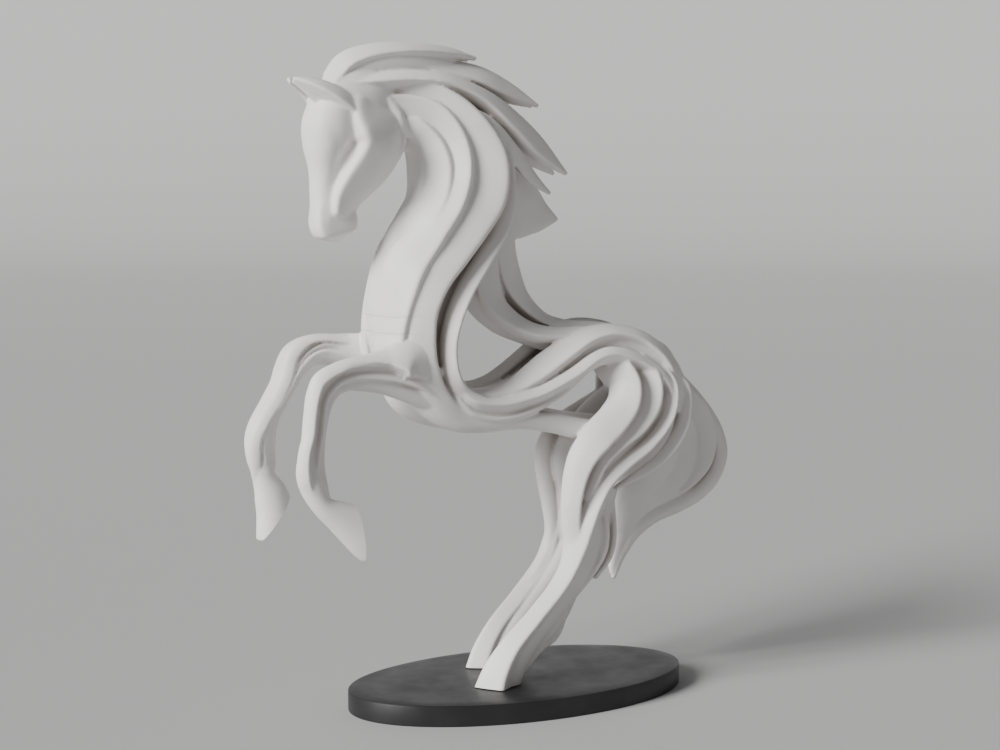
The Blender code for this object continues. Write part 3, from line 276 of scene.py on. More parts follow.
barrelRibbons = [
    ("barrelCore", "middle", 0, side, [
        (-35, 0, 97, 9, 12), (-31, 0, 90, 8, 12), (-22, 0, 85.2, 5.4, 12), (-10, 0, 84.8, 4.8, 11.5),
        (1, 0, 88, 4.8, 11), (11, 0, 93.8, 5, 10.5), (21, 0, 98.4, 5.6, 10.8), (31, 0, 99.5, 6, 11.5),
        (40, 0, 96.5, 7.5, 12), (45, 0, 88, 9, 12), (46, 0, 78, 8, 11)]),
    ("ribbonA", "left", 1, (-0.1, -0.70, 0.70), [
        (-26.5, -9, 91.5, 1.6, 1.8), (-21.2, -10, 89.1, 1.9, 2), (-13.4, -10, 88.6, 2.4, 2.2),
        (-7.2, -10, 90.1, 3.2, 2.2), (-1.4, -10, 93.2, 4, 2.3), (4.5, -10, 96.9, 4.4, 2.4),
        (10.4, -10, 100.5, 4.3, 2.4), (16.6, -9.8, 103.8, 4, 2.4), (22.8, -9.5, 105.4, 3.6, 2.4),
        (29.3, -9.3, 105.6, 3.4, 2.4), (37, -9.5, 103.9, 3.4, 2.4), (43.5, -10, 100, 3.4, 2.4),
        (48.8, -10.5, 94.3, 3.4, 2.4), (51.6, -10.8, 87.4, 3, 2.4), (52, -10.8, 80.4, 2.6, 2.2)]),
    ("farRibbonA", "right", 2, (-0.1, 0.70, 0.70), [
        (-24, 9, 90, 1.6, 1.8), (-13.4, 9.6, 88.4, 2.2, 2), (-7.2, 9.8, 89.4, 2.4, 2),
        (-1.4, 10, 92, 2.6, 2.1), (4.5, 10, 95.8, 2.8, 2.2), (10.4, 10, 99.8, 3.2, 2.3),
        (16.6, 9.8, 103.4, 3.6, 2.4), (22.8, 9.5, 105.4, 3.6, 2.4), (29.3, 9.3, 105.6, 3.4, 2.4),
        (37, 9.5, 103.9, 3.4, 2.4), (43.5, 10, 100, 3.4, 2.4), (48.8, 10.5, 94.3, 3.4, 2.4),
        (51.6, 10.8, 87.4, 3, 2.4), (52, 10.8, 80.4, 2.6, 2.2)]),
    ("ribbonB", "both", 2, (-0.1, -0.75, 0.65), [
        (-28, -11.2, 93.5, 1.3, 1.8), (-25.7, -12.6, 89.8, 1.5, 2), (-22, -13.3, 87, 1.6, 2.2),
        (-17.4, -13.4, 85.9, 1.6, 2.2), (-11.7, -13.4, 85.7, 1.7, 2.2), (-5.6, -13.4, 86.7, 1.7, 2.2),
        (0.4, -13.4, 88.3, 1.8, 2.2), (6.3, -13.4, 90.8, 1.9, 2.2), (12.5, -13.4, 93.9, 2, 2.2),
        (18.6, -13.3, 97.5, 1.9, 2.2), (24.8, -13.2, 99.3, 1.8, 2.2), (31.8, -13.3, 98, 1.8, 2.2),
        (38.4, -13.5, 95.1, 1.7, 2), (43.2, -14.1, 91.3, 1.5, 2),
        (46.4, -14.3, 86.6, 1.2, 1.8), (47, -14.2, 80.5, 0.7, 1.4)]),
    ("ribbonC", "both", 0, (-0.1, -0.90, 0.40), [
        (-29.5, -11, 92, 1.2, 1.4), (-27, -12.4, 87.8, 1.1, 1.5), (-23.9, -12.7, 84.5, 1.1, 1.5),
        (-20.6, -12.7, 82.6, 1.1, 1.5), (-14.9, -12.7, 81.3, 1.1, 1.5), (-8.8, -12.7, 81.4, 1, 1.5),
        (-2.6, -12.7, 83, 1, 1.5), (4, -12.6, 85.6, 0.9, 1.5), (8.1, -12.5, 87.8, 0.9, 1.4),
        (12.1, -12.3, 90.4, 0.9, 1.4), (16.5, -12, 93.8, 0.8, 1.3), (22, -11.5, 96.5, 0.7, 1.2)]),
    ("flankSheet", "both", 0, (-0.1, -0.98, -0.1), [
        (-24, -11.4, 85.5, 1.6, 1.3), (-17.4, -11.6, 83.6, 2.2, 1.3), (-11.7, -11.6, 83.3, 2.4, 1.3),
        (-5.6, -11.6, 84.3, 2.4, 1.3), (0.3, -11.6, 86.2, 2.4, 1.3), (6.3, -11.6, 89.3, 1.8, 1.3),
        (12.4, -11.5, 92.7, 1.6, 1.3), (18.5, -11.4, 96.2, 1.6, 1.3), (25, -11.3, 97.6, 1.8, 1.3),
        (32, -11.3, 96.5, 2, 1.3)]),
    ("bandSheet", "both", 0, (-0.1, -0.97, 0.2), [
        (-14, -10.6, 87, 1.8, 1.4), (-8, -10.8, 88.3, 2.2, 1.4), (-2, -11, 90.6, 2.6, 1.4),
        (4.3, -11, 93.3, 3, 1.4), (10.3, -11, 96.4, 3.1, 1.4), (16.5, -11, 100, 2.8, 1.4),
        (22.7, -10.8, 102.1, 2.6, 1.4), (29.2, -10.8, 102.2, 2.6, 1.4), (36.5, -11, 100, 2.6, 1.4),
        (42.5, -11.4, 96.5, 2.4, 1.4), (46.5, -11.8, 91, 2, 1.4)]),
    ("croup", "middle", 0, (0.45, 0, 0.9), [
        (14, 0, 103.6, 5, 2), (22, 0, 105, 7, 2.2), (31, 0, 105, 8, 2.4), (40, 0, 102.4, 8, 2.4),
        (47.5, 0, 96.8, 7, 2.4), (52, 0, 90, 6, 2.4), (55.5, 0, 84, 5, 2.2)]),
    ("belly", "both", 0, forwardSide, [
        (-43, -6, 94, 1.5, 1.5), (-39.5, -7.5, 89.5, 2.6, 2.4), (-34, -9.5, 85, 3.5, 3),
        (-26.5, -10, 81.5, 3.5, 3), (-16.5, -10, 80.5, 3.4, 3), (-5, -10, 80.5, 3, 3),
        (6, -10, 79, 3.2, 3), (15.5, -10.5, 76.6, 3.4, 3), (24, -11, 75, 3.4, 3)]),
    ("bellyKeel", "middle", 0, side, [
        (-42, 0, 94, 5, 7), (-36, 0, 87.5, 6, 9), (-24, 0, 82.5, 5, 10), (-10, 0, 82, 4, 10),
        (4, 0, 80, 3.5, 9), (16, 0, 77.6, 3.4, 9), (27, 0, 75.5, 4, 9)]),
]

haunchRibbons = [
    ("thighCore", "stride", 0, forwardSide, [
        (46, -6, 91, 9, 6), (41, -8, 83, 8, 6), (29, -9, 74, 8.6, 6), (20.5, -10, 65, 8.4, 5),
        (18, -10.5, 55, 5.6, 3.6), (16.5, -10.5, 46, 3.6, 3), (14.5, -10.8, 38, 2, 2)]),
    ("haunch1", "left", -1, forwardSide, [
        (26.6, -7.6, 97, 5, 2.4), (28.2, -10.6, 94, 5.4, 2.8), (30.2, -12.7, 90, 5, 3.2),
        (28.9, -14.4, 84.6, 5, 3.1), (24.8, -15.1, 79.7, 5, 3), (19.3, -15.2, 74.8, 5, 3),
        (14.8, -14.8, 69.5, 4.4, 3), (12.2, -14.2, 63.5, 3.8, 3), (11, -13.6, 56, 3.2, 2.8),
        (11, -13, 49, 2.9, 2.5), (11.6, -12.6, 42, 2.6, 2.3), (9.8, -12.2, 34, 2.2, 2.1),
        (4, -12, 26, 1.8, 1.8), (-3, -12, 18.5, 1.2, 1.4)]),
    ("farHaunch1", "right", 0, (-0.35, 0.93, 0), [
        (41, 6.5, 96, 2.4, 2), (41.4, 10, 92, 2.6, 2.6), (40.6, 12.6, 87, 3, 3),
        (37.6, 14.4, 82.5, 3.4, 3), (31.4, 15.8, 78, 4.2, 3), (24.6, 16, 73.6, 4.8, 3),
        (19.6, 15.7, 68.8, 4.4, 3), (18.1, 15.4, 63.5, 3.8, 3), (18.6, 15.1, 56, 3.2, 2.8),
        (19.5, 14.7, 49, 2.9, 2.5), (20.1, 14.3, 42, 2.6, 2.3), (18.3, 13.9, 34, 2.2, 2.1),
        (12.5, 13.7, 26, 1.8, 1.8), (5.5, 13.7, 18.5, 1.2, 1.4)]),
    ("haunch2", "stride", -1, forwardSide, [
        (35, -8.6, 98.5, 2.6, 2), (37, -11, 95, 3.5, 2.2), (38.7, -13.2, 90, 4.2, 2.4),
        (37.8, -14.2, 83.8, 4.2, 2.5), (33.4, -14.9, 77.8, 3.6, 2.5), (26.5, -15, 72.3, 2.8, 2.5),
        (21, -14.7, 67, 2.3, 2.4), (18, -14.2, 61, 2, 2.2), (15.5, -13.5, 55, 1.4, 1.6)]),
    ("haunch3", "stride", [-1, 2], [forwardSide, legFront], [
        (42, -8, 97, 2, 2), (44.6, -10.8, 93, 2.5, 2.2), (46.6, -13, 87.5, 2.9, 2.4),
        (44.9, -14.4, 79, 2.4, 2.5), (38, -15, 71.3, 2.2, 2.5), (30, -15, 66, 2.3, 2.6),
        (23, -14.8, 60.6, 2.7, 2.6), (18.6, -14.6, 54.2, 3.2, 2.8), (15.5, -14.2, 47, 3.6, 3),
        (13, -13.5, 39.5, 3.6, 3), (8.6, -13, 30, 3, 3), (-0.3, -12.6, 20, 2.9, 3),
        (-8.2, -12.4, 12, 3.3, 3), (-13.2, -12.3, 4.5, 4.3, 3.4), (-15.5, -12.3, -2.5, 5.4, 4)]),
    ("haunch4", "stride", -1, forwardSide, [
        (48, -7, 95, 2, 2), (50.8, -9.2, 91, 2.3, 2.2), (53.2, -11, 85.5, 2.5, 2.2),
        (51.2, -12.5, 75.2, 2.3, 2.2), (45, -13, 67.2, 1.8, 1.9), (36.5, -12.6, 61.8, 1.4, 1.5),
        (28.5, -11.2, 57.6, 0.7, 0.8)]),
]

legRibbons = [
    ("hindLegBack", "stride", 0, side, [
        (24, -10.5, 58, 5.4, 3.4), (20.5, -11, 46, 4.6, 3.2), (17.3, -11, 37, 4.4, 3.4), (11.5, -11, 28, 4, 3.6),
        (3.5, -11, 19, 3.6, 3.4), (-4, -11, 10.5, 3.8, 3.4), (-9, -11, 3, 4.4, 3.8),
        (-11, -11, -2.5, 5, 4.2)]),
    ("hock1", "stride", 0, rearSide, [
        (21.5, -14, 54.5, 1, 1.4), (23, -14.2, 45.5, 1, 1.5), (22.3, -13.8, 38, 1, 1.5),
        (18.3, -13.2, 31.5, 0.9, 1.4), (12.5, -12.4, 24.5, 0.7, 1)]),
    ("hock2", "stride", 0, rearSide, [
        (26.2, -12, 53.5, 0.9, 1.5), (26.6, -12.4, 43, 1, 1.6), (25, -12.2, 36, 1, 1.6),
        (20.4, -11.8, 30, 0.9, 1.3)]),
    ("fetlock", "stride", 0, side, [
        (13, -10.5, 25, 2, 1.6), (9, -10.2, 18.5, 2.6, 1.2), (5.2, -10, 13.8, 3, 1.1),
        (0.3, -10, 9.4, 2.6, 1.1), (-4, -10, 3.5, 2.2, 1.2)]),
    ("spur", "stride", 0, side, [
        (13.5, -10.6, 27, 0.8, 1.2), (10.9, -10.2, 20.9, 1, 1.6), (9, -10, 15.2, 1.1, 1.8),
        (6.6, -10, 12, 1.2, 1.8), (3.1, -10, 10, 1.1, 1.7), (-0.6, -10, 6.9, 1.1, 1.7),
        (-3.9, -10, 2.6, 0.9, 1.4)]),
    ("foreCore", "left", 0, side, [
        (-31, -7, 92, 7, 4), (-43, -9.5, 95.5, 6.5, 3.2), (-55, -11, 96, 4.8, 2.4),
        (-64.5, -11.2, 96, 4, 2.1), (-70.5, -11.2, 92.5, 3.6, 2.1), (-72.6, -11.2, 85, 3, 2.1),
        (-73.4, -11.2, 77, 3, 2.1), (-74.2, -11.5, 69.5, 3.9, 2.4), (-73.5, -12, 64, 3.4, 2.8)]),
    ("shoulder", "left", [2, -1], [(-0.40, -0.90, 0.15), (-0.25, -0.72, 0.64)], [
        (-33, -11.2, 95.3, 1.6, 2), (-36, -12.5, 96.6, 2.6, 2.4), (-39.4, -13.4, 98.8, 4.3, 2.6),
        (-43, -13.8, 101, 6.3, 2.6), (-46.5, -13.2, 101.3, 4.9, 2.5), (-50.5, -12.5, 100.9, 3.2, 2.3),
        (-58, -12.8, 100.3, 1.9, 1.9), (-64, -13.2, 99.5, 1.6, 1.6)]),
    ("foreTop", "left", -1, forwardSide, [
        (-50.5, -12.6, 100.7, 2.1, 2), (-60, -13.2, 100.4, 1.6, 2), (-66.3, -13.4, 98.8, 1.8, 2),
        (-71.5, -13.4, 95.8, 2.1, 2), (-73.5, -13.4, 91, 2, 2), (-74.3, -13.4, 85.5, 1.8, 2),
        (-74.9, -13.4, 80.3, 1.8, 2), (-76.2, -13.4, 75.5, 1.8, 2), (-76.7, -13.4, 70.8, 1.9, 2),
        (-76.2, -13, 66.5, 2, 2), (-74.5, -12.5, 62.5, 1.6, 1.8)]),
    ("foreMid", "left", -1, forwardSide, [
        (-16, -10, 79, 1.4, 1.5), (-24, -11.3, 83.3, 1.4, 1.6), (-31, -12.2, 88.1, 1.4, 1.6),
        (-38, -12.9, 92.3, 1.3, 1.6), (-45, -13, 94.7, 1.2, 1.5), (-52.5, -13, 96, 1.1, 1.5),
        (-59.8, -13, 96.4, 1, 1.4), (-64, -13, 95.6, 1, 1.4), (-67.2, -13, 93.5, 1, 1.4),
        (-69, -13, 91.2, 0.9, 1.3), (-70.1, -13, 88, 0.9, 1.3), (-70.9, -13, 81.5, 0.9, 1.2),
        (-72, -13, 75.2, 0.9, 1.2), (-72.7, -12.8, 69.5, 0.9, 1.2), (-72.3, -12.2, 63.5, 0.9, 1),
        (-70, -11.8, 59.5, 0.7, 0.8)]),
    ("foreLow", "left", 0, forwardSide, [
        (-17, -8.5, 83, 2.4, 2.2), (-26.5, -9.5, 84.2, 2.9, 2.5), (-37.5, -10.5, 88.2, 2.8, 2.5),
        (-48.5, -11, 92.1, 2.4, 2.2), (-58.5, -11.2, 93.9, 1.9, 2), (-63.5, -11.3, 93.2, 1.7, 1.8),
        (-67, -11.5, 90.8, 1.6, 1.7), (-69, -11.5, 86, 1.4, 1.6), (-70.4, -11.5, 79, 1.4, 1.6),
        (-70.9, -11.5, 72, 1.5, 1.6), (-70.2, -11.8, 66, 1.5, 1.5), (-69, -11.8, 61.5, 1.2, 1.2)]),
    ("farForeCore", "right", 0, side, [
        (-34.5, 7, 98, 6, 4), (-46, 9.5, 101.2, 5.4, 3.4), (-56, 12, 102, 4.8, 3.4),
        (-62.5, 13, 102.2, 4.6, 3.7), (-68.2, 13, 100.6, 4.3, 3.6), (-71.4, 13, 96.5, 3.5, 3.3),
        (-73.4, 13, 92.3, 2.9, 2.8), (-76.5, 13, 86.8, 2.9, 2.8), (-79.4, 13, 80.3, 3.8, 2.8),
        (-80.3, 13, 76, 4.1, 2.8), (-79.9, 13, 71, 3.9, 2.8), (-79.2, 13, 67.3, 3.3, 2.8)]),
    ("farForeTop", "right", -1, side, [
        (-46, 10.4, 104.6, 1.5, 2), (-53, 10.4, 105.1, 1.3, 2), (-60, 10.4, 106, 1.1, 2),
        (-64.6, 10.4, 105.6, 1.3, 2), (-68.3, 10.4, 103.8, 1.7, 2), (-71, 10.4, 100.3, 1.8, 2),
        (-72.6, 10.4, 94.5, 1.8, 2), (-75.7, 10.4, 88.5, 1.8, 2), (-79.5, 10.4, 82.8, 1.8, 2),
        (-82.3, 10.6, 76.8, 1.7, 1.8), (-82.2, 11.2, 71, 1.6, 1.6), (-81.4, 12.2, 65, 1.2, 1.2)]),
    ("farForeRidge", "right", 0, side, [
        (-47, 10.2, 100, 0.8, 1.6), (-52, 10, 101.6, 0.7, 1.7), (-57.7, 10, 103.5, 0.6, 1.7),
        (-61.7, 10, 103.7, 0.6, 1.7), (-65.5, 10, 101.8, 0.6, 1.7), (-68.6, 10, 98.6, 0.7, 1.7),
        (-70.5, 10.2, 95, 0.6, 1.4)]),
    ("farForeSide", "right", 1, side, [
        (-45, 10.3, 96.5, 1.4, 1.8), (-51, 10.2, 98, 1.5, 1.8), (-57, 10.2, 99.8, 1.9, 1.8),
        (-61, 10.2, 100.5, 2, 1.8), (-64.6, 10.2, 99, 1.8, 1.8), (-67.9, 10.2, 95.7, 1.5, 1.8),
        (-70.7, 10.2, 91, 1.1, 1.8), (-73.9, 10.2, 85.8, 1.2, 1.8), (-76.9, 10.8, 80.4, 2, 1.8),
        (-77.9, 11.2, 75, 2.4, 1.8), (-77.3, 11.8, 69, 2.1, 1.6), (-77, 12.6, 64, 1.4, 1.2)]),
]

hoofRibbons = [
    ("foreHoof", "left", 0, side, [
        (-74.6, -12, 72, 2.4, 1.8), (-74, -12.4, 66, 3.6, 2.8), (-70.6, -12.5, 59.6, 3.2, 3.1),
        (-64.4, -12.5, 55.3, 5, 4), (-57.6, -12.5, 51.3, 7.5, 4.8), (-54, -12.5, 49.3, 8.5, 5)]),
    ("farForeHoof", "right", 0, side, [
        (-80, 13.1, 75, 2.6, 2), (-79.2, 12.8, 69, 3.5, 2.9), (-78.4, 12.6, 64.5, 3.7, 3.2),
        (-76.6, 12.5, 60, 5.1, 4), (-75.4, 12.5, 54.5, 5.6, 4.6), (-74.9, 12.5, 47, 6.2, 5)]),
]

# each raised hoof is cut flat through its toe and its heel: x and z of both, and the side it is on
raisedSoles = [((-58, 42.5), (-61, 60), -1), ((-80.1, 46.8), (-70.6, 59.8), 1)]

headRibbons = [
    ("headCore", "middle", 0, side, [
        (-47, 0, 181, 9, 6), (-52, 0, 176, 13, 7), (-54, 0, 169.5, 14, 7), (-55, 0, 163, 13.5, 6.5),
        (-57, 0, 157, 11, 5.5), (-59, 0, 151, 8.6, 4.6), (-60.8, 0, 144, 6.8, 4.4),
        (-60.9, 0, 139, 6, 4.8)]),
    ("noseBridge", "middle", 0, side, [
        (-60, 0, 177, 5.5, 7), (-63, 0, 169, 6.8, 8.6), (-63.7, 0, 162, 6.2, 7.6),
        (-64, 0, 155, 4.4, 5.2), (-64.2, 0, 147, 3.9, 4.6), (-64, 0, 140, 4, 5)]),
    ("cheek", "both", 1, (0.20, -0.98, 0), [
        (-50, -2, 175, 6.5, 2), (-50, -4.4, 171.5, 8.9, 3.3), (-49.1, -5.8, 166.5, 9.1, 4.2),
        (-49, -6, 162, 8, 4.3), (-51.6, -5.2, 156.5, 7.1, 3.8), (-55.8, -4.2, 151, 6, 3.2),
        (-58.8, -3.4, 146.5, 5, 2.8), (-60.2, -3, 142, 3.8, 2.6)]),
    ("muzzle", "middle", 2, side, [
        (-61.6, 0, 146, 5.6, 4.4), (-61.2, 0, 140.5, 6.6, 4.8), (-60.4, 0, 136.9, 5.9, 4.6)]),
]

earRibbons = [
    ("ear", "both", -1, (-0.2, -0.75, 0.6), [
        (-49.5, -3.4, 167, 1.8, 1.2), (-55.2, -6, 171.6, 2.8, 1.8), (-60.6, -6.3, 175.6, 3, 1.9),
        (-65.8, -5.2, 178.4, 2.6, 1.8), (-70, -3.6, 180, 1.8, 1.4), (-73.8, -2, 181, 0.7, 0.7)]),
    ("earFlap", "both", 0, (-0.6, -0.7, 0.3), [
        (-58, -3, 170.9, 2.4, 1.4), (-65, -3, 174.6, 2, 1.2), (-69.8, -2.3, 177.8, 1.3, 1),
        (-73.8, -1.3, 180.3, 0.6, 0.6)]),
    ("jawRim", "both", 0, side, [
        (-46, -4.6, 176, 1.6, 1.8), (-42.9, -5.1, 171.3, 1.8, 2), (-42, -5.3, 165.5, 1.8, 2),
        (-43.4, -5.2, 160.2, 1.8, 2), (-47.4, -4.6, 155, 1.6, 1.8), (-52, -4, 149.8, 1.2, 1.6),
        (-56, -3.4, 145, 1, 1.4)]),
]

tailRibbons = [
    ("tailOuter", "middle", 0, side, [
        (55, 0, 88, 5, 6), (61.5, 0, 82.5, 4.6, 6), (67, 0, 76.5, 4.4, 6), (70.8, 0, 70.5, 4.2, 6),
        (72.6, 0, 64, 4, 5.5), (70.5, 0, 57.5, 3.8, 5), (65.5, 0, 52.5, 3.6, 4.5), (58, 0, 49, 3.4, 4),
        (49, 0, 46, 3.2, 3.6), (42, 0, 41.5, 3, 3), (37, 0, 34.5, 2.2, 2.2), (34.5, 0, 26.5, 0.8, 0.8)]),
    ("tailMiddle", "middle", 0, side, [
        (48, 0, 84, 7, 7), (56, 0, 76, 8, 6), (60, 0, 67, 9, 5), (57, 0, 59.5, 9, 4.5),
        (50, 0, 55, 8, 4), (43, 0, 50, 6, 3.5), (38, 0, 43, 4.5, 3), (35, 0, 35, 2.8, 2.2),
        (34, 0, 28, 0.8, 0.8)]),
    ("tailInner", "middle", 0, side, [
        (46, 0, 80, 8, 7), (50, 0, 68, 9, 6), (46, 0, 58, 8, 5), (40, 0, 49, 6.5, 4), (36, 0, 41, 4, 3)]),
    ("tailSide", "both", -1, side, [
        (57, -4, 86, 2.6, 2), (63, -5, 79, 3, 2), (66, -5, 71, 3, 2), (65.5, -4.5, 63, 2.6, 1.8),
        (62, -3.5, 57, 1.8, 1.4), (57, -3, 53, 1, 1)]),
]

# Rounded masses: name, sides, middle, half-sizes.
headMasses = ("brow", "forehead", "temple", "poll", "lips")
masses = [
    ("brow", "both", (-61.3, -4.2, 168.5), (6.3, 4.9, 8.5)),
    ("forehead", "middle", (-63, 0, 169), (6.6, 6.3, 10)),
    ("temple", "both", (-56, -5.6, 172.5), (4.6, 3.2, 4.4)),
    ("poll", "middle", (-51, 0, 178), (11, 7, 7.5)),
    ("lips", "middle", (-60.8, 0, 139.4), (5.8, 4.8, 5)),
    ("rump", "both", (44, -5, 91), (10, 8, 12)),
]


def smoothCurve(stations):
    # Catmull-Rom through the stations: every value of a station is blended alike
    perSpan = horseValues["pointsPerSpan"]
    controls = np.array(stations, dtype=float)
    padded = np.vstack([2 * controls[0] - controls[1], controls, 2 * controls[-1] - controls[-2]])
    samples = []
    for span in range(len(controls) - 1):
        p0, p1, p2, p3 = padded[span:span + 4]
        for k in range(perSpan):
            t = k / perSpan
            samples.append(0.5 * (2 * p1 + (p2 - p0) * t + (2 * p0 - 5 * p1 + 4 * p2 - p3) * t ** 2
                                  + (3 * p1 - p0 - 3 * p2 + p3) * t ** 3))
    samples.append(controls[-1])
    return np.array(samples)


def blendPair(value, share):
    # a value, or a pair of them blended from the ribbon's start to its end
    first, last = np.array(value if isinstance(value, list) else [value, value], dtype=float)
    return first * (1 - share) + last * share


def ribbonSections(crisp, share):
    # unit outline across a ribbon at each of its rings: soft at one edge, square and thick at a crisp edge
    angle = np.linspace(0, 2 * pi, horseValues["ringPoints"], endpoint=False)
    c = np.cos(angle)
    s = np.sin(angle)
    ends = crisp if isinstance(crisp, list) else [crisp, crisp]
    upper = blendPair([edge in (1, 2) for edge in ends], share)
    lower = blendPair([edge in (-1, 2) for edge in ends], share)
    square = np.clip(2 * c, 0, 1) * upper + np.clip(-2 * c, 0, 1) * lower
    soft = horseValues["roundSquareness"]
    power = 2 / (soft + (horseValues["crispSquareness"] - soft) * square)
    across = np.sign(c) * np.abs(c) ** power
    outward = np.sign(s) * np.abs(s) ** power * (1 + horseValues["crispLift"] * (upper - lower) * across)
    return across, outward


def makeRibbon(name, stations, facing, crisp, ySign):
    curve = smoothCurve(stations)
    middle = curve[:, :3]
    halfWidth = curve[:, 3]
    halfThick = curve[:, 4]
    tangent = np.gradient(middle, axis=0)
    tangent /= np.linalg.norm(tangent, axis=1)[:, None]
    share = np.linspace(0, 1, len(middle))[:, None]
    looking = blendPair(facing, share)
    normal = looking - (tangent * looking).sum(axis=1)[:, None] * tangent
    normal /= np.linalg.norm(normal, axis=1)[:, None]
    across = np.cross(tangent, normal)
    sectionAcross, sectionOut = ribbonSections(crisp, share)
    rings = (middle[:, None, :]
             + halfWidth[:, None, None] * sectionAcross[:, :, None] * across[:, None, :]
             + halfThick[:, None, None] * sectionOut[:, :, None] * normal[:, None, :])
    startCap = middle[0] - tangent[0] * min(halfWidth[0], halfThick[0]) * horseValues["capShare"]
    endCap = middle[-1] + tangent[-1] * min(halfWidth[-1], halfThick[-1]) * horseValues["capShare"]
    points = np.vstack([rings.reshape(-1, 3), startCap, endCap])
    around = horseValues["ringPoints"]
    count = len(middle)
    faces = []
    for i in range(count - 1):
        for j in range(around):
            nextJ = (j + 1) % around
            faces.append((i * around + j, i * around + nextJ, (i + 1) * around + nextJ, (i + 1) * around + j))
    for j in range(around):
        nextJ = (j + 1) % around
        faces.append((count * around, nextJ, j))
        faces.append((count * around + 1, (count - 1) * around + j, (count - 1) * around + nextJ))
    if ySign < 0:
        points = points * (1, -1, 1)
        faces = [face[::-1] for face in faces]
    mesh = bpy.data.meshes.new(name)
    mesh.from_pydata((points * step + (0, 0, soleHeight)).tolist(), [], faces)
    piece = bpy.data.objects.new(name, mesh)
    bpy.context.scene.collection.objects.link(piece)
    return piece


def strideBack(stations):
    # the right hind leg stands further back and out: its stations move so from the hip down
    moved = []
    for x, y, z, halfWidth, halfThick in stations:
        share = min(max((horseValues["strideTop"] - z) / horseValues["strideDrop"], 0), 1)
        moved.append((x + horseValues["strideLength"] * share, y - horseValues["strideOut"] * share, z,
                      halfWidth, halfThick))
    return moved


def makeRibbons(table):
    pieces = []
    for name, sides, crisp, facing, stations in table:
        pieces.append(makeRibbon(name, stations, facing, crisp, 1))
        if sides == "both":
            pieces.append(makeRibbon(name, stations, facing, crisp, -1))
        if sides == "stride":
            pieces.append(makeRibbon(name, strideBack(stations), facing, crisp, -1))
    return pieces


def makeMasses(names):
    pieces = []
    for name, sides, middle, halfSizes in masses:
        if name not in names:
            continue
        for ySign in (1, -1) if sides == "both" else (1,):
            bpy.ops.mesh.primitive_uv_sphere_add(
                segments=horseValues["sphereSegments"], ring_count=horseValues["sphereRings"], radius=step,
                location=(middle[0] * step, middle[1] * ySign * step, middle[2] * step + soleHeight),
                scale=halfSizes)
            bpy.ops.object.transform_apply(location=True, rotation=True, scale=True)
            pieces.append(bpy.context.object)
    return pieces


def fuseSkin(pieces, name, rounds):
    # one closed skin around all the pieces, then smoothed
    skin = joinPieces(pieces, name)
    finishWith(skin, "REMESH", mode="VOXEL", voxel_size=horseValues["skinCell"] * step, adaptivity=0)
    finishWith(skin, "SMOOTH", factor=horseValues["smoothFactor"], iterations=rounds)
    return skin


def cutFlat(point, outward):
    # cut what is selected off beyond a plane, close it with a flat face and keep its rim sharp
    bpy.ops.mesh.bisect(plane_co=point, plane_no=Vector(outward).normalized(), use_fill=True, clear_outer=True,
                        threshold=horseValues["weldSize"])
    bpy.ops.mesh.mark_sharp()


def cutSoles(skin):
    pick(skin, "FACE", lambda face: True)
    cutFlat((0, 0, soleHeight), (0, 0, -1))
    leaveEdit()
    for toe, heel, ySign in raisedSoles:
        middle = Vector(((toe[0] + heel[0]) / 2 * step, 0, (toe[1] + heel[1]) / 2 * step + soleHeight))
        reach = horseValues["soleReach"] * step
        pick(skin, "FACE", lambda face: face.center.y * ySign > 0 and (face.center - middle).xz.length < reach)
        cutFlat(middle, (heel[1] - toe[1], 0, toe[0] - heel[0]))
        leaveEdit()
    pick(skin, "FACE", lambda face: len(face.vertices) > 3)
    bpy.ops.mesh.quads_convert_to_tris()
    leaveEdit()


def keepOneShell(skin):
    # crumbs that the fusing left loose are deleted: all that isn't linked to the highest point
    top = max(vert.co.z for vert in skin.data.vertices)
    pick(skin, "VERT", lambda vert: vert.co.z == top)
    bpy.ops.mesh.select_linked()
    bpy.ops.mesh.select_all(action="INVERT")
    bpy.ops.mesh.delete(type="VERT")
    leaveEdit()


def buildHorse():
    head = fuseSkin(makeRibbons(headRibbons) + makeMasses(headMasses), "softHead",
                    horseValues["headSmoothRounds"])
    print("stage: head shaped")
    tables = (neckRibbons, maneRibbons, backRibbons, barrelRibbons, haunchRibbons, legRibbons, hoofRibbons,
              earRibbons, tailRibbons)
    pieces = [piece for table in tables for piece in makeRibbons(table)]
    pieces += makeMasses([mass[0] for mass in masses if mass[0] not in headMasses])
    horse = fuseSkin(pieces + [head], "ribbonHorse", horseValues["smoothRounds"])
    print("stage: ribbons fused,", len(horse.data.polygons), "faces")
    triangles = sum(len(face.vertices) - 2 for face in horse.data.polygons)
    finishWith(horse, "DECIMATE", ratio=horseValues["skinFaces"] / triangles, use_collapse_triangulate=True)
    cutSoles(horse)
    keepOneShell(horse)
    selectOnly(horse)
    bpy.ops.object.shade_smooth(keep_sharp_edges=True)
    print("stage: horse finished,", len(horse.data.polygons), "triangles")
    return horse


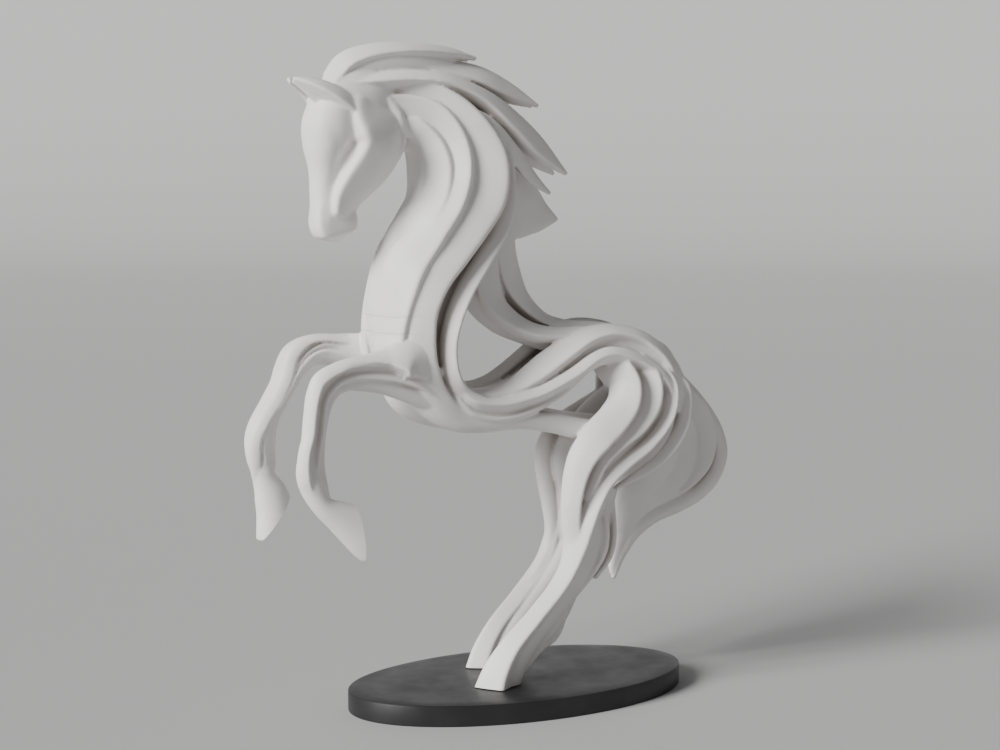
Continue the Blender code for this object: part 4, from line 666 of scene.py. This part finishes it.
# white printed plastic of the horse
whiteValues = {
    "lightTone": (0.87, 0.85, 0.83, 1),
    "dullTone": (0.80, 0.78, 0.755, 1),
    "toneScale": 38,
    "toneFade": (0.35, 0.7),
    "paintedCreaseShade": (0.50, 0.43, 0.38, 1),    # painted shade: a warm dark tone laid into the grooves, where shade falls
    "creaseReach": 0.005,
    "creaseSamples": 8,
    "creaseFade": (0.15, 0.85),     # fully in that tone below the first, free of it above the second
    "paintedShadeShare": 0.78,
    "grainScale": 2600,
    "grainDepth": 0.000012,
    "layerHeight": 0.0002,
    "layerDepth": 0.000008,
    "layerWaver": 0.6,
    "layerWaverScale": 0.02,
    "shiftScale": 700,          # layers that sit proud of their neighbours
    "shiftFade": (0.58, 0.70),
    "shiftDepth": 0.00006,
    "shiftStrength": 0.5,
    "patchScale": 45,           # the patches in which such layers show
    "patchFade": (0.45, 0.65),
    "chestLines": (0.1199, 0.1151),     # heights of the two seams across the chest
    "seamHalfWidth": 0.00022,
    "seamWander": 0.0016,       # how far the seams stray up and down
    "seamWanderScale": 55,
    "seamEnds": (-0.037, -0.047),       # they fade out between these two x
    "seamDepth": 0.00016,
    "seamStrength": 0.8,
    "roughScale": 160,
    "roughDetail": 3.0,
    "roughFade": (0.3, 0.7),
    "roughLow": 0.46,
    "roughHigh": 0.62,
    "gloss": 0.4,
}


def whitePlastic():
    v = whiteValues
    material, tree, shader, place = newMaterial("whitePlastic")
    apart = makeNode(tree, "ShaderNodeSeparateXYZ", {"Vector": place})
    height = apart.outputs["Z"]
    tone = fadeRange(tree, makeNoise(tree, place, v["toneScale"], 3.0, 0.55), *v["toneFade"])
    grain = makeNoise(tree, place, v["grainScale"], 3.0, 0.6)
    colour = mixTones(tree, tone, v["lightTone"], v["dullTone"])
    # painted shade: ambient occlusion darkens the grooves and hollows towards that warm tone
    crease = makeNode(tree, "ShaderNodeAmbientOcclusion", {"Distance": v["creaseReach"]},
                      samples=v["creaseSamples"])
    bare = fadeRange(tree, crease.outputs["AO"], *v["creaseFade"])
    shade = makeMaths(tree, "MULTIPLY", makeMaths(tree, "SUBTRACT", 1.0, bare), v["paintedShadeShare"])
    colour = mixTones(tree, shade, colour, v["paintedCreaseShade"], "MULTIPLY")
    tree.links.new(colour, shader.inputs["Base Color"])

    # the printed layers: fine even lines, and patches where single layers sit a little proud
    layers = makeNode(tree, "ShaderNodeTexWave", {"Vector": place, "Scale": 0.1 * pi / v["layerHeight"],
                                                  "Distortion": v["layerWaver"], "Detail": 1.0,
                                                  "Detail Scale": v["layerWaverScale"]},
                      wave_type="BANDS", bands_direction="Z", wave_profile="SIN").outputs["Fac"]
    shifts = makeNode(tree, "ShaderNodeTexNoise", {"W": height, "Scale": v["shiftScale"], "Detail": 2.0},
                      noise_dimensions="1D").outputs["Fac"]
    shifts = fadeRange(tree, shifts, *v["shiftFade"])
    patches = fadeRange(tree, makeNoise(tree, place, v["patchScale"], 2.0), *v["patchFade"])
    shifts = makeMaths(tree, "MULTIPLY", shifts, patches)

    # two seams stray a little as they cross the chest
    stray = makeMaths(tree, "MULTIPLY_ADD", makeNoise(tree, place, v["seamWanderScale"], 1.0), v["seamWander"],
                      -v["seamWander"] / 2)
    wandering = makeMaths(tree, "ADD", height, stray)
    seams = 0.0
    for line in v["chestLines"]:
        gap = makeMaths(tree, "ABSOLUTE", makeMaths(tree, "SUBTRACT", wandering, line))
        seams = makeMaths(tree, "MAXIMUM", seams, fadeRange(tree, gap, v["seamHalfWidth"], 0.0))
    seams = makeMaths(tree, "MULTIPLY", seams, fadeRange(tree, apart.outputs["X"], *v["seamEnds"]))

    normal = addBump(tree, layers, v["layerDepth"], 1.0)
    normal = addBump(tree, shifts, v["shiftDepth"], v["shiftStrength"], normal)
    normal = addBump(tree, seams, v["seamDepth"], v["seamStrength"], normal)
    normal = addBump(tree, grain, v["grainDepth"], 1.0, normal)
    tree.links.new(normal, shader.inputs["Normal"])
    tree.links.new(wanderRough(tree, place, v), shader.inputs["Roughness"])
    shader.inputs["Specular IOR Level"].default_value = v["gloss"]
    return material


# the oval base, from one cylinder
baseValues = {
    "sides": 160,
    "rimDrop": 0.0003,          # height of the sloping rim around the top
    "rimRun": 0.0040,           # how far the rim runs in from the edge
    "edgeRound": 0.00040,
    "edgeSegments": 3,
    "sharpAngle": 28,
    "nearEnough": 0.00001,      # two heights closer than this are the same
}


def buildBase():
    v = baseValues
    lowest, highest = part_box("base")
    size = highest - lowest
    bpy.ops.object.select_all(action="DESELECT")
    bpy.ops.mesh.primitive_cylinder_add(vertices=v["sides"], radius=0.5, depth=1.0,
                                        location=(lowest + highest) / 2, scale=size)
    base = bpy.context.object
    base.name = base.data.name = "ovalBase"
    bpy.ops.object.transform_apply(location=True, rotation=True, scale=True)

    # the top is inset, and its outer ring is lowered, so that a shallow rim slopes down all round
    pick(base, "FACE", lambda face: face.normal.z > 0.9)
    bpy.ops.mesh.inset(thickness=v["rimRun"], depth=0)
    leaveEdit()
    inner = max(abs(vert.co.x) for vert in base.data.vertices if vert.select)
    outerShare = (inner + size.x / 2) / size.x
    pick(base, "VERT", lambda vert: highest.z - vert.co.z < v["nearEnough"] and
         (vert.co.x / size.x) ** 2 + (vert.co.y / size.y) ** 2 > (outerShare / 2) ** 2)
    bpy.ops.transform.translate(value=(0, 0, -v["rimDrop"]))
    leaveEdit()

    # the lowered edge and the foot edge are eased
    easedHeights = (lowest.z, highest.z - v["rimDrop"])

    def onEdge(edge):
        ends = [base.data.vertices[i].co.z for i in edge.vertices]
        return any(all(abs(end - height) < v["nearEnough"] for end in ends) for height in easedHeights)

    pick(base, "EDGE", onEdge)
    bpy.ops.mesh.bevel(offset=v["edgeRound"], segments=v["edgeSegments"], affect="EDGES")
    leaveEdit()
    selectOnly(base)
    bpy.ops.object.shade_smooth_by_angle(angle=radians(v["sharpAngle"]))
    print("stage: base finished,", len(base.data.polygons), "faces")
    return base


# black printed plastic of the base
blackValues = {
    "darkTone": (0.012, 0.012, 0.013, 1),
    "lightTone": (0.024, 0.0235, 0.024, 1),
    "cloudScale": 55,
    "cloudFade": (0.35, 0.7),
    "dustTone": (0.10, 0.095, 0.09, 1),
    "dustScale": 900,
    "dustFade": (0.72, 0.80),
    "dustShare": 0.5,
    "rimShadeShare": 0.45,          # how much darker the rim around the top is painted: painted shade
    "rimShadeFade": (0.985, 1.015),     # where it starts, as a share of the way out, squared
    "topFade": (0.5, 0.95),     # how far up a face looks before it counts as the top
    "rasterTurn": 45,
    "rasterWidth": 0.00045,     # the printed lines across the top
    "rasterDepth": 0.000010,
    "rasterWaver": 0.4,
    "layerHeight": 0.0002,
    "layerDepth": 0.000012,
    "layerWaver": 0.5,
    "grainScale": 420,
    "grainDepth": 0.00004,
    "grainStrength": 0.35,
    "roughScale": 70,
    "roughDetail": 4.0,
    "roughFade": (0.3, 0.7),
    "roughLow": 0.36,
    "roughHigh": 0.52,
}


def blackPlastic():
    v = blackValues
    material, tree, shader, place = newMaterial("blackPlastic")
    cloud = fadeRange(tree, makeNoise(tree, place, v["cloudScale"], 4.0, 0.6), *v["cloudFade"])
    colour = mixTones(tree, cloud, v["darkTone"], v["lightTone"])
    specks = fadeRange(tree, makeNoise(tree, place, v["dustScale"], 2.0, 0.5), *v["dustFade"])
    colour = mixTones(tree, makeMaths(tree, "MULTIPLY", specks, v["dustShare"]), colour, v["dustTone"])

    # painted shade: the sloping rim is painted darker; it lies past an oval that is set in by the rim's width
    lowest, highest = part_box("base")
    inside = (highest - lowest) / 2 - Vector((1, 1, 0)) * baseValues["rimRun"]
    apart = makeNode(tree, "ShaderNodeSeparateXYZ", {"Vector": place})
    across = makeMaths(tree, "DIVIDE", apart.outputs["X"], inside.x)
    along = makeMaths(tree, "DIVIDE", apart.outputs["Y"], inside.y)
    reach = makeMaths(tree, "ADD", makeMaths(tree, "MULTIPLY", across, across),
                      makeMaths(tree, "MULTIPLY", along, along))
    paintedRimShade = makeMaths(tree, "MULTIPLY", fadeRange(tree, reach, *v["rimShadeFade"]), v["rimShadeShare"])
    colour = mixTones(tree, paintedRimShade, colour, v["darkTone"])
    tree.links.new(colour, shader.inputs["Base Color"])

    # printed lines run slantwise across the top, and level layers go round the edge
    up = makeNode(tree, "ShaderNodeSeparateXYZ",
                  {"Vector": makeNode(tree, "ShaderNodeNewGeometry").outputs["Normal"]}).outputs["Z"]
    flat = fadeRange(tree, up, *v["topFade"])
    turned = makeNode(tree, "ShaderNodeMapping", {"Vector": place, "Rotation": (0, 0, radians(v["rasterTurn"]))})
    raster = makeNode(tree, "ShaderNodeTexWave", {"Vector": turned.outputs["Vector"],
                                                  "Scale": 0.1 * pi / v["rasterWidth"],
                                                  "Distortion": v["rasterWaver"]},
                      wave_type="BANDS", bands_direction="X", wave_profile="SIN").outputs["Fac"]
    layers = makeNode(tree, "ShaderNodeTexWave", {"Vector": place, "Scale": 0.1 * pi / v["layerHeight"],
                                                  "Distortion": v["layerWaver"]},
                      wave_type="BANDS", bands_direction="Z", wave_profile="SIN").outputs["Fac"]
    raster = makeMaths(tree, "MULTIPLY", raster, flat)
    layers = makeMaths(tree, "MULTIPLY", layers, makeMaths(tree, "SUBTRACT", 1.0, flat))
    normal = addBump(tree, raster, v["rasterDepth"], 1.0)
    normal = addBump(tree, layers, v["layerDepth"], 1.0, normal)
    normal = addBump(tree, makeNoise(tree, place, v["grainScale"], 3.0, 0.6), v["grainDepth"], v["grainStrength"],
                     normal)
    tree.links.new(normal, shader.inputs["Normal"])
    tree.links.new(wanderRough(tree, place, v), shader.inputs["Roughness"])
    return material


# floor, light and camera
stageValues = {
    "floorSize": 10.0,
    "nearEnough": 0.01,         # how close to the floor's far edge or to its plane counts as on it
    "wallHeight": 5.0,
    "coveReach": 1.6,           # how far out the floor starts to curve up into the wall
    "coveSegments": 24,
    "floorTone": (0.50, 0.495, 0.49, 1),
    "floorRough": 0.85,
    "worldTone": (0.80, 0.82, 0.85, 1),
    "worldStrength": 0.12,
    "aim": (-0.0064, 0, 0.1001),
    "azimuth": -28,
    "elevation": 5.4,
    "distance": 0.581,
    "lens": 68.4,
    "sensor": 36,
    "clipStart": 0.01,
    "keyFrom": (-0.85, 0.45, 0.72),     # right, up and back of the aim, as the camera sees it
    "keyAngle": 26,
    "keyStrength": 5.6,
    "fillFrom": (0.9, 0.25, 0.5),
    "fillSize": 0.9,
    "fillPower": 0.8,
}


def lookFrame():
    # the camera's own right, up and back directions
    azimuth = radians(stageValues["azimuth"])
    elevation = radians(stageValues["elevation"])
    back = Vector((sin(azimuth) * cos(elevation), -cos(azimuth) * cos(elevation), sin(elevation)))
    right = Vector((cos(azimuth), sin(azimuth), 0))
    return right, back.cross(right), back


def buildStage():
    v = stageValues
    aim = Vector(v["aim"])
    right, up, back = lookFrame()
    bpy.ops.object.select_all(action="DESELECT")
    bpy.ops.mesh.primitive_plane_add(size=v["floorSize"], location=(0, 0, 0), rotation=(0, 0, radians(v["azimuth"])))
    floor = bpy.context.object
    floor.name = floor.data.name = "floor"
    bpy.ops.object.transform_apply(location=True, rotation=True, scale=True)

    # the floor's far edge is drawn up into a wall, and the corner between them becomes a wide cove
    ahead = Vector((-back.x, -back.y, 0)).normalized()
    farthest = v["floorSize"] / 2 - v["nearEnough"]
    pick(floor, "VERT", lambda vert: vert.co.dot(ahead) > farthest)
    bpy.ops.mesh.extrude_region_move(TRANSFORM_OT_translate={"value": (0, 0, v["wallHeight"])})
    leaveEdit()
    corner = [vert.co for vert in floor.data.vertices]
    pick(floor, "EDGE", lambda edge: all(corner[i].dot(ahead) > farthest and corner[i].z < v["nearEnough"]
                                         for i in edge.vertices))
    bpy.ops.mesh.bevel(offset=v["coveReach"], segments=v["coveSegments"], affect="EDGES")
    leaveEdit()
    selectOnly(floor)
    bpy.ops.object.shade_smooth()
    material, tree, shader, place = newMaterial("paleFloor")
    shader.inputs["Base Color"].default_value = v["floorTone"]
    shader.inputs["Roughness"].default_value = v["floorRough"]
    floor.data.materials.append(material)

    for name, kind, place in (("keyLight", "SUN", v["keyFrom"]), ("fillLight", "AREA", v["fillFrom"])):
        lamp = bpy.data.lights.new(name, kind)
        holder = bpy.data.objects.new(name, lamp)
        bpy.context.scene.collection.objects.link(holder)
        holder.location = aim + right * place[0] + up * place[1] + back * place[2]
        holder.rotation_euler = (aim - holder.location).to_track_quat("-Z", "Y").to_euler()
        if kind == "SUN":
            lamp.energy = v["keyStrength"]
            lamp.angle = radians(v["keyAngle"])
        else:
            lamp.shape = "SQUARE"
            lamp.size = v["fillSize"]
            lamp.energy = v["fillPower"]

    world = bpy.data.worlds.new("softRoom")
    world.use_nodes = True
    world.node_tree.nodes["Background"].inputs["Color"].default_value = v["worldTone"]
    world.node_tree.nodes["Background"].inputs["Strength"].default_value = v["worldStrength"]
    bpy.context.scene.world = world

    lens = bpy.data.cameras.new("photoCamera")
    lens.lens = v["lens"]
    lens.sensor_width = v["sensor"]
    lens.clip_start = v["clipStart"]
    camera = bpy.data.objects.new("photoCamera", lens)
    bpy.context.scene.collection.objects.link(camera)
    camera.location = aim + back * v["distance"]
    camera.rotation_euler = (-back).to_track_quat("-Z", "Y").to_euler()
    bpy.context.scene.camera = camera
    print("stage: floor, lights and camera placed")


horse = buildHorse()
horse.data.materials.clear()
horse.data.materials.append(whitePlastic())
base = buildBase()
base.data.materials.clear()
base.data.materials.append(blackPlastic())
for piece, node in ((horse, "horse"), (base, "base")):
    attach(piece, "root")
    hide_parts(node)
buildStage()
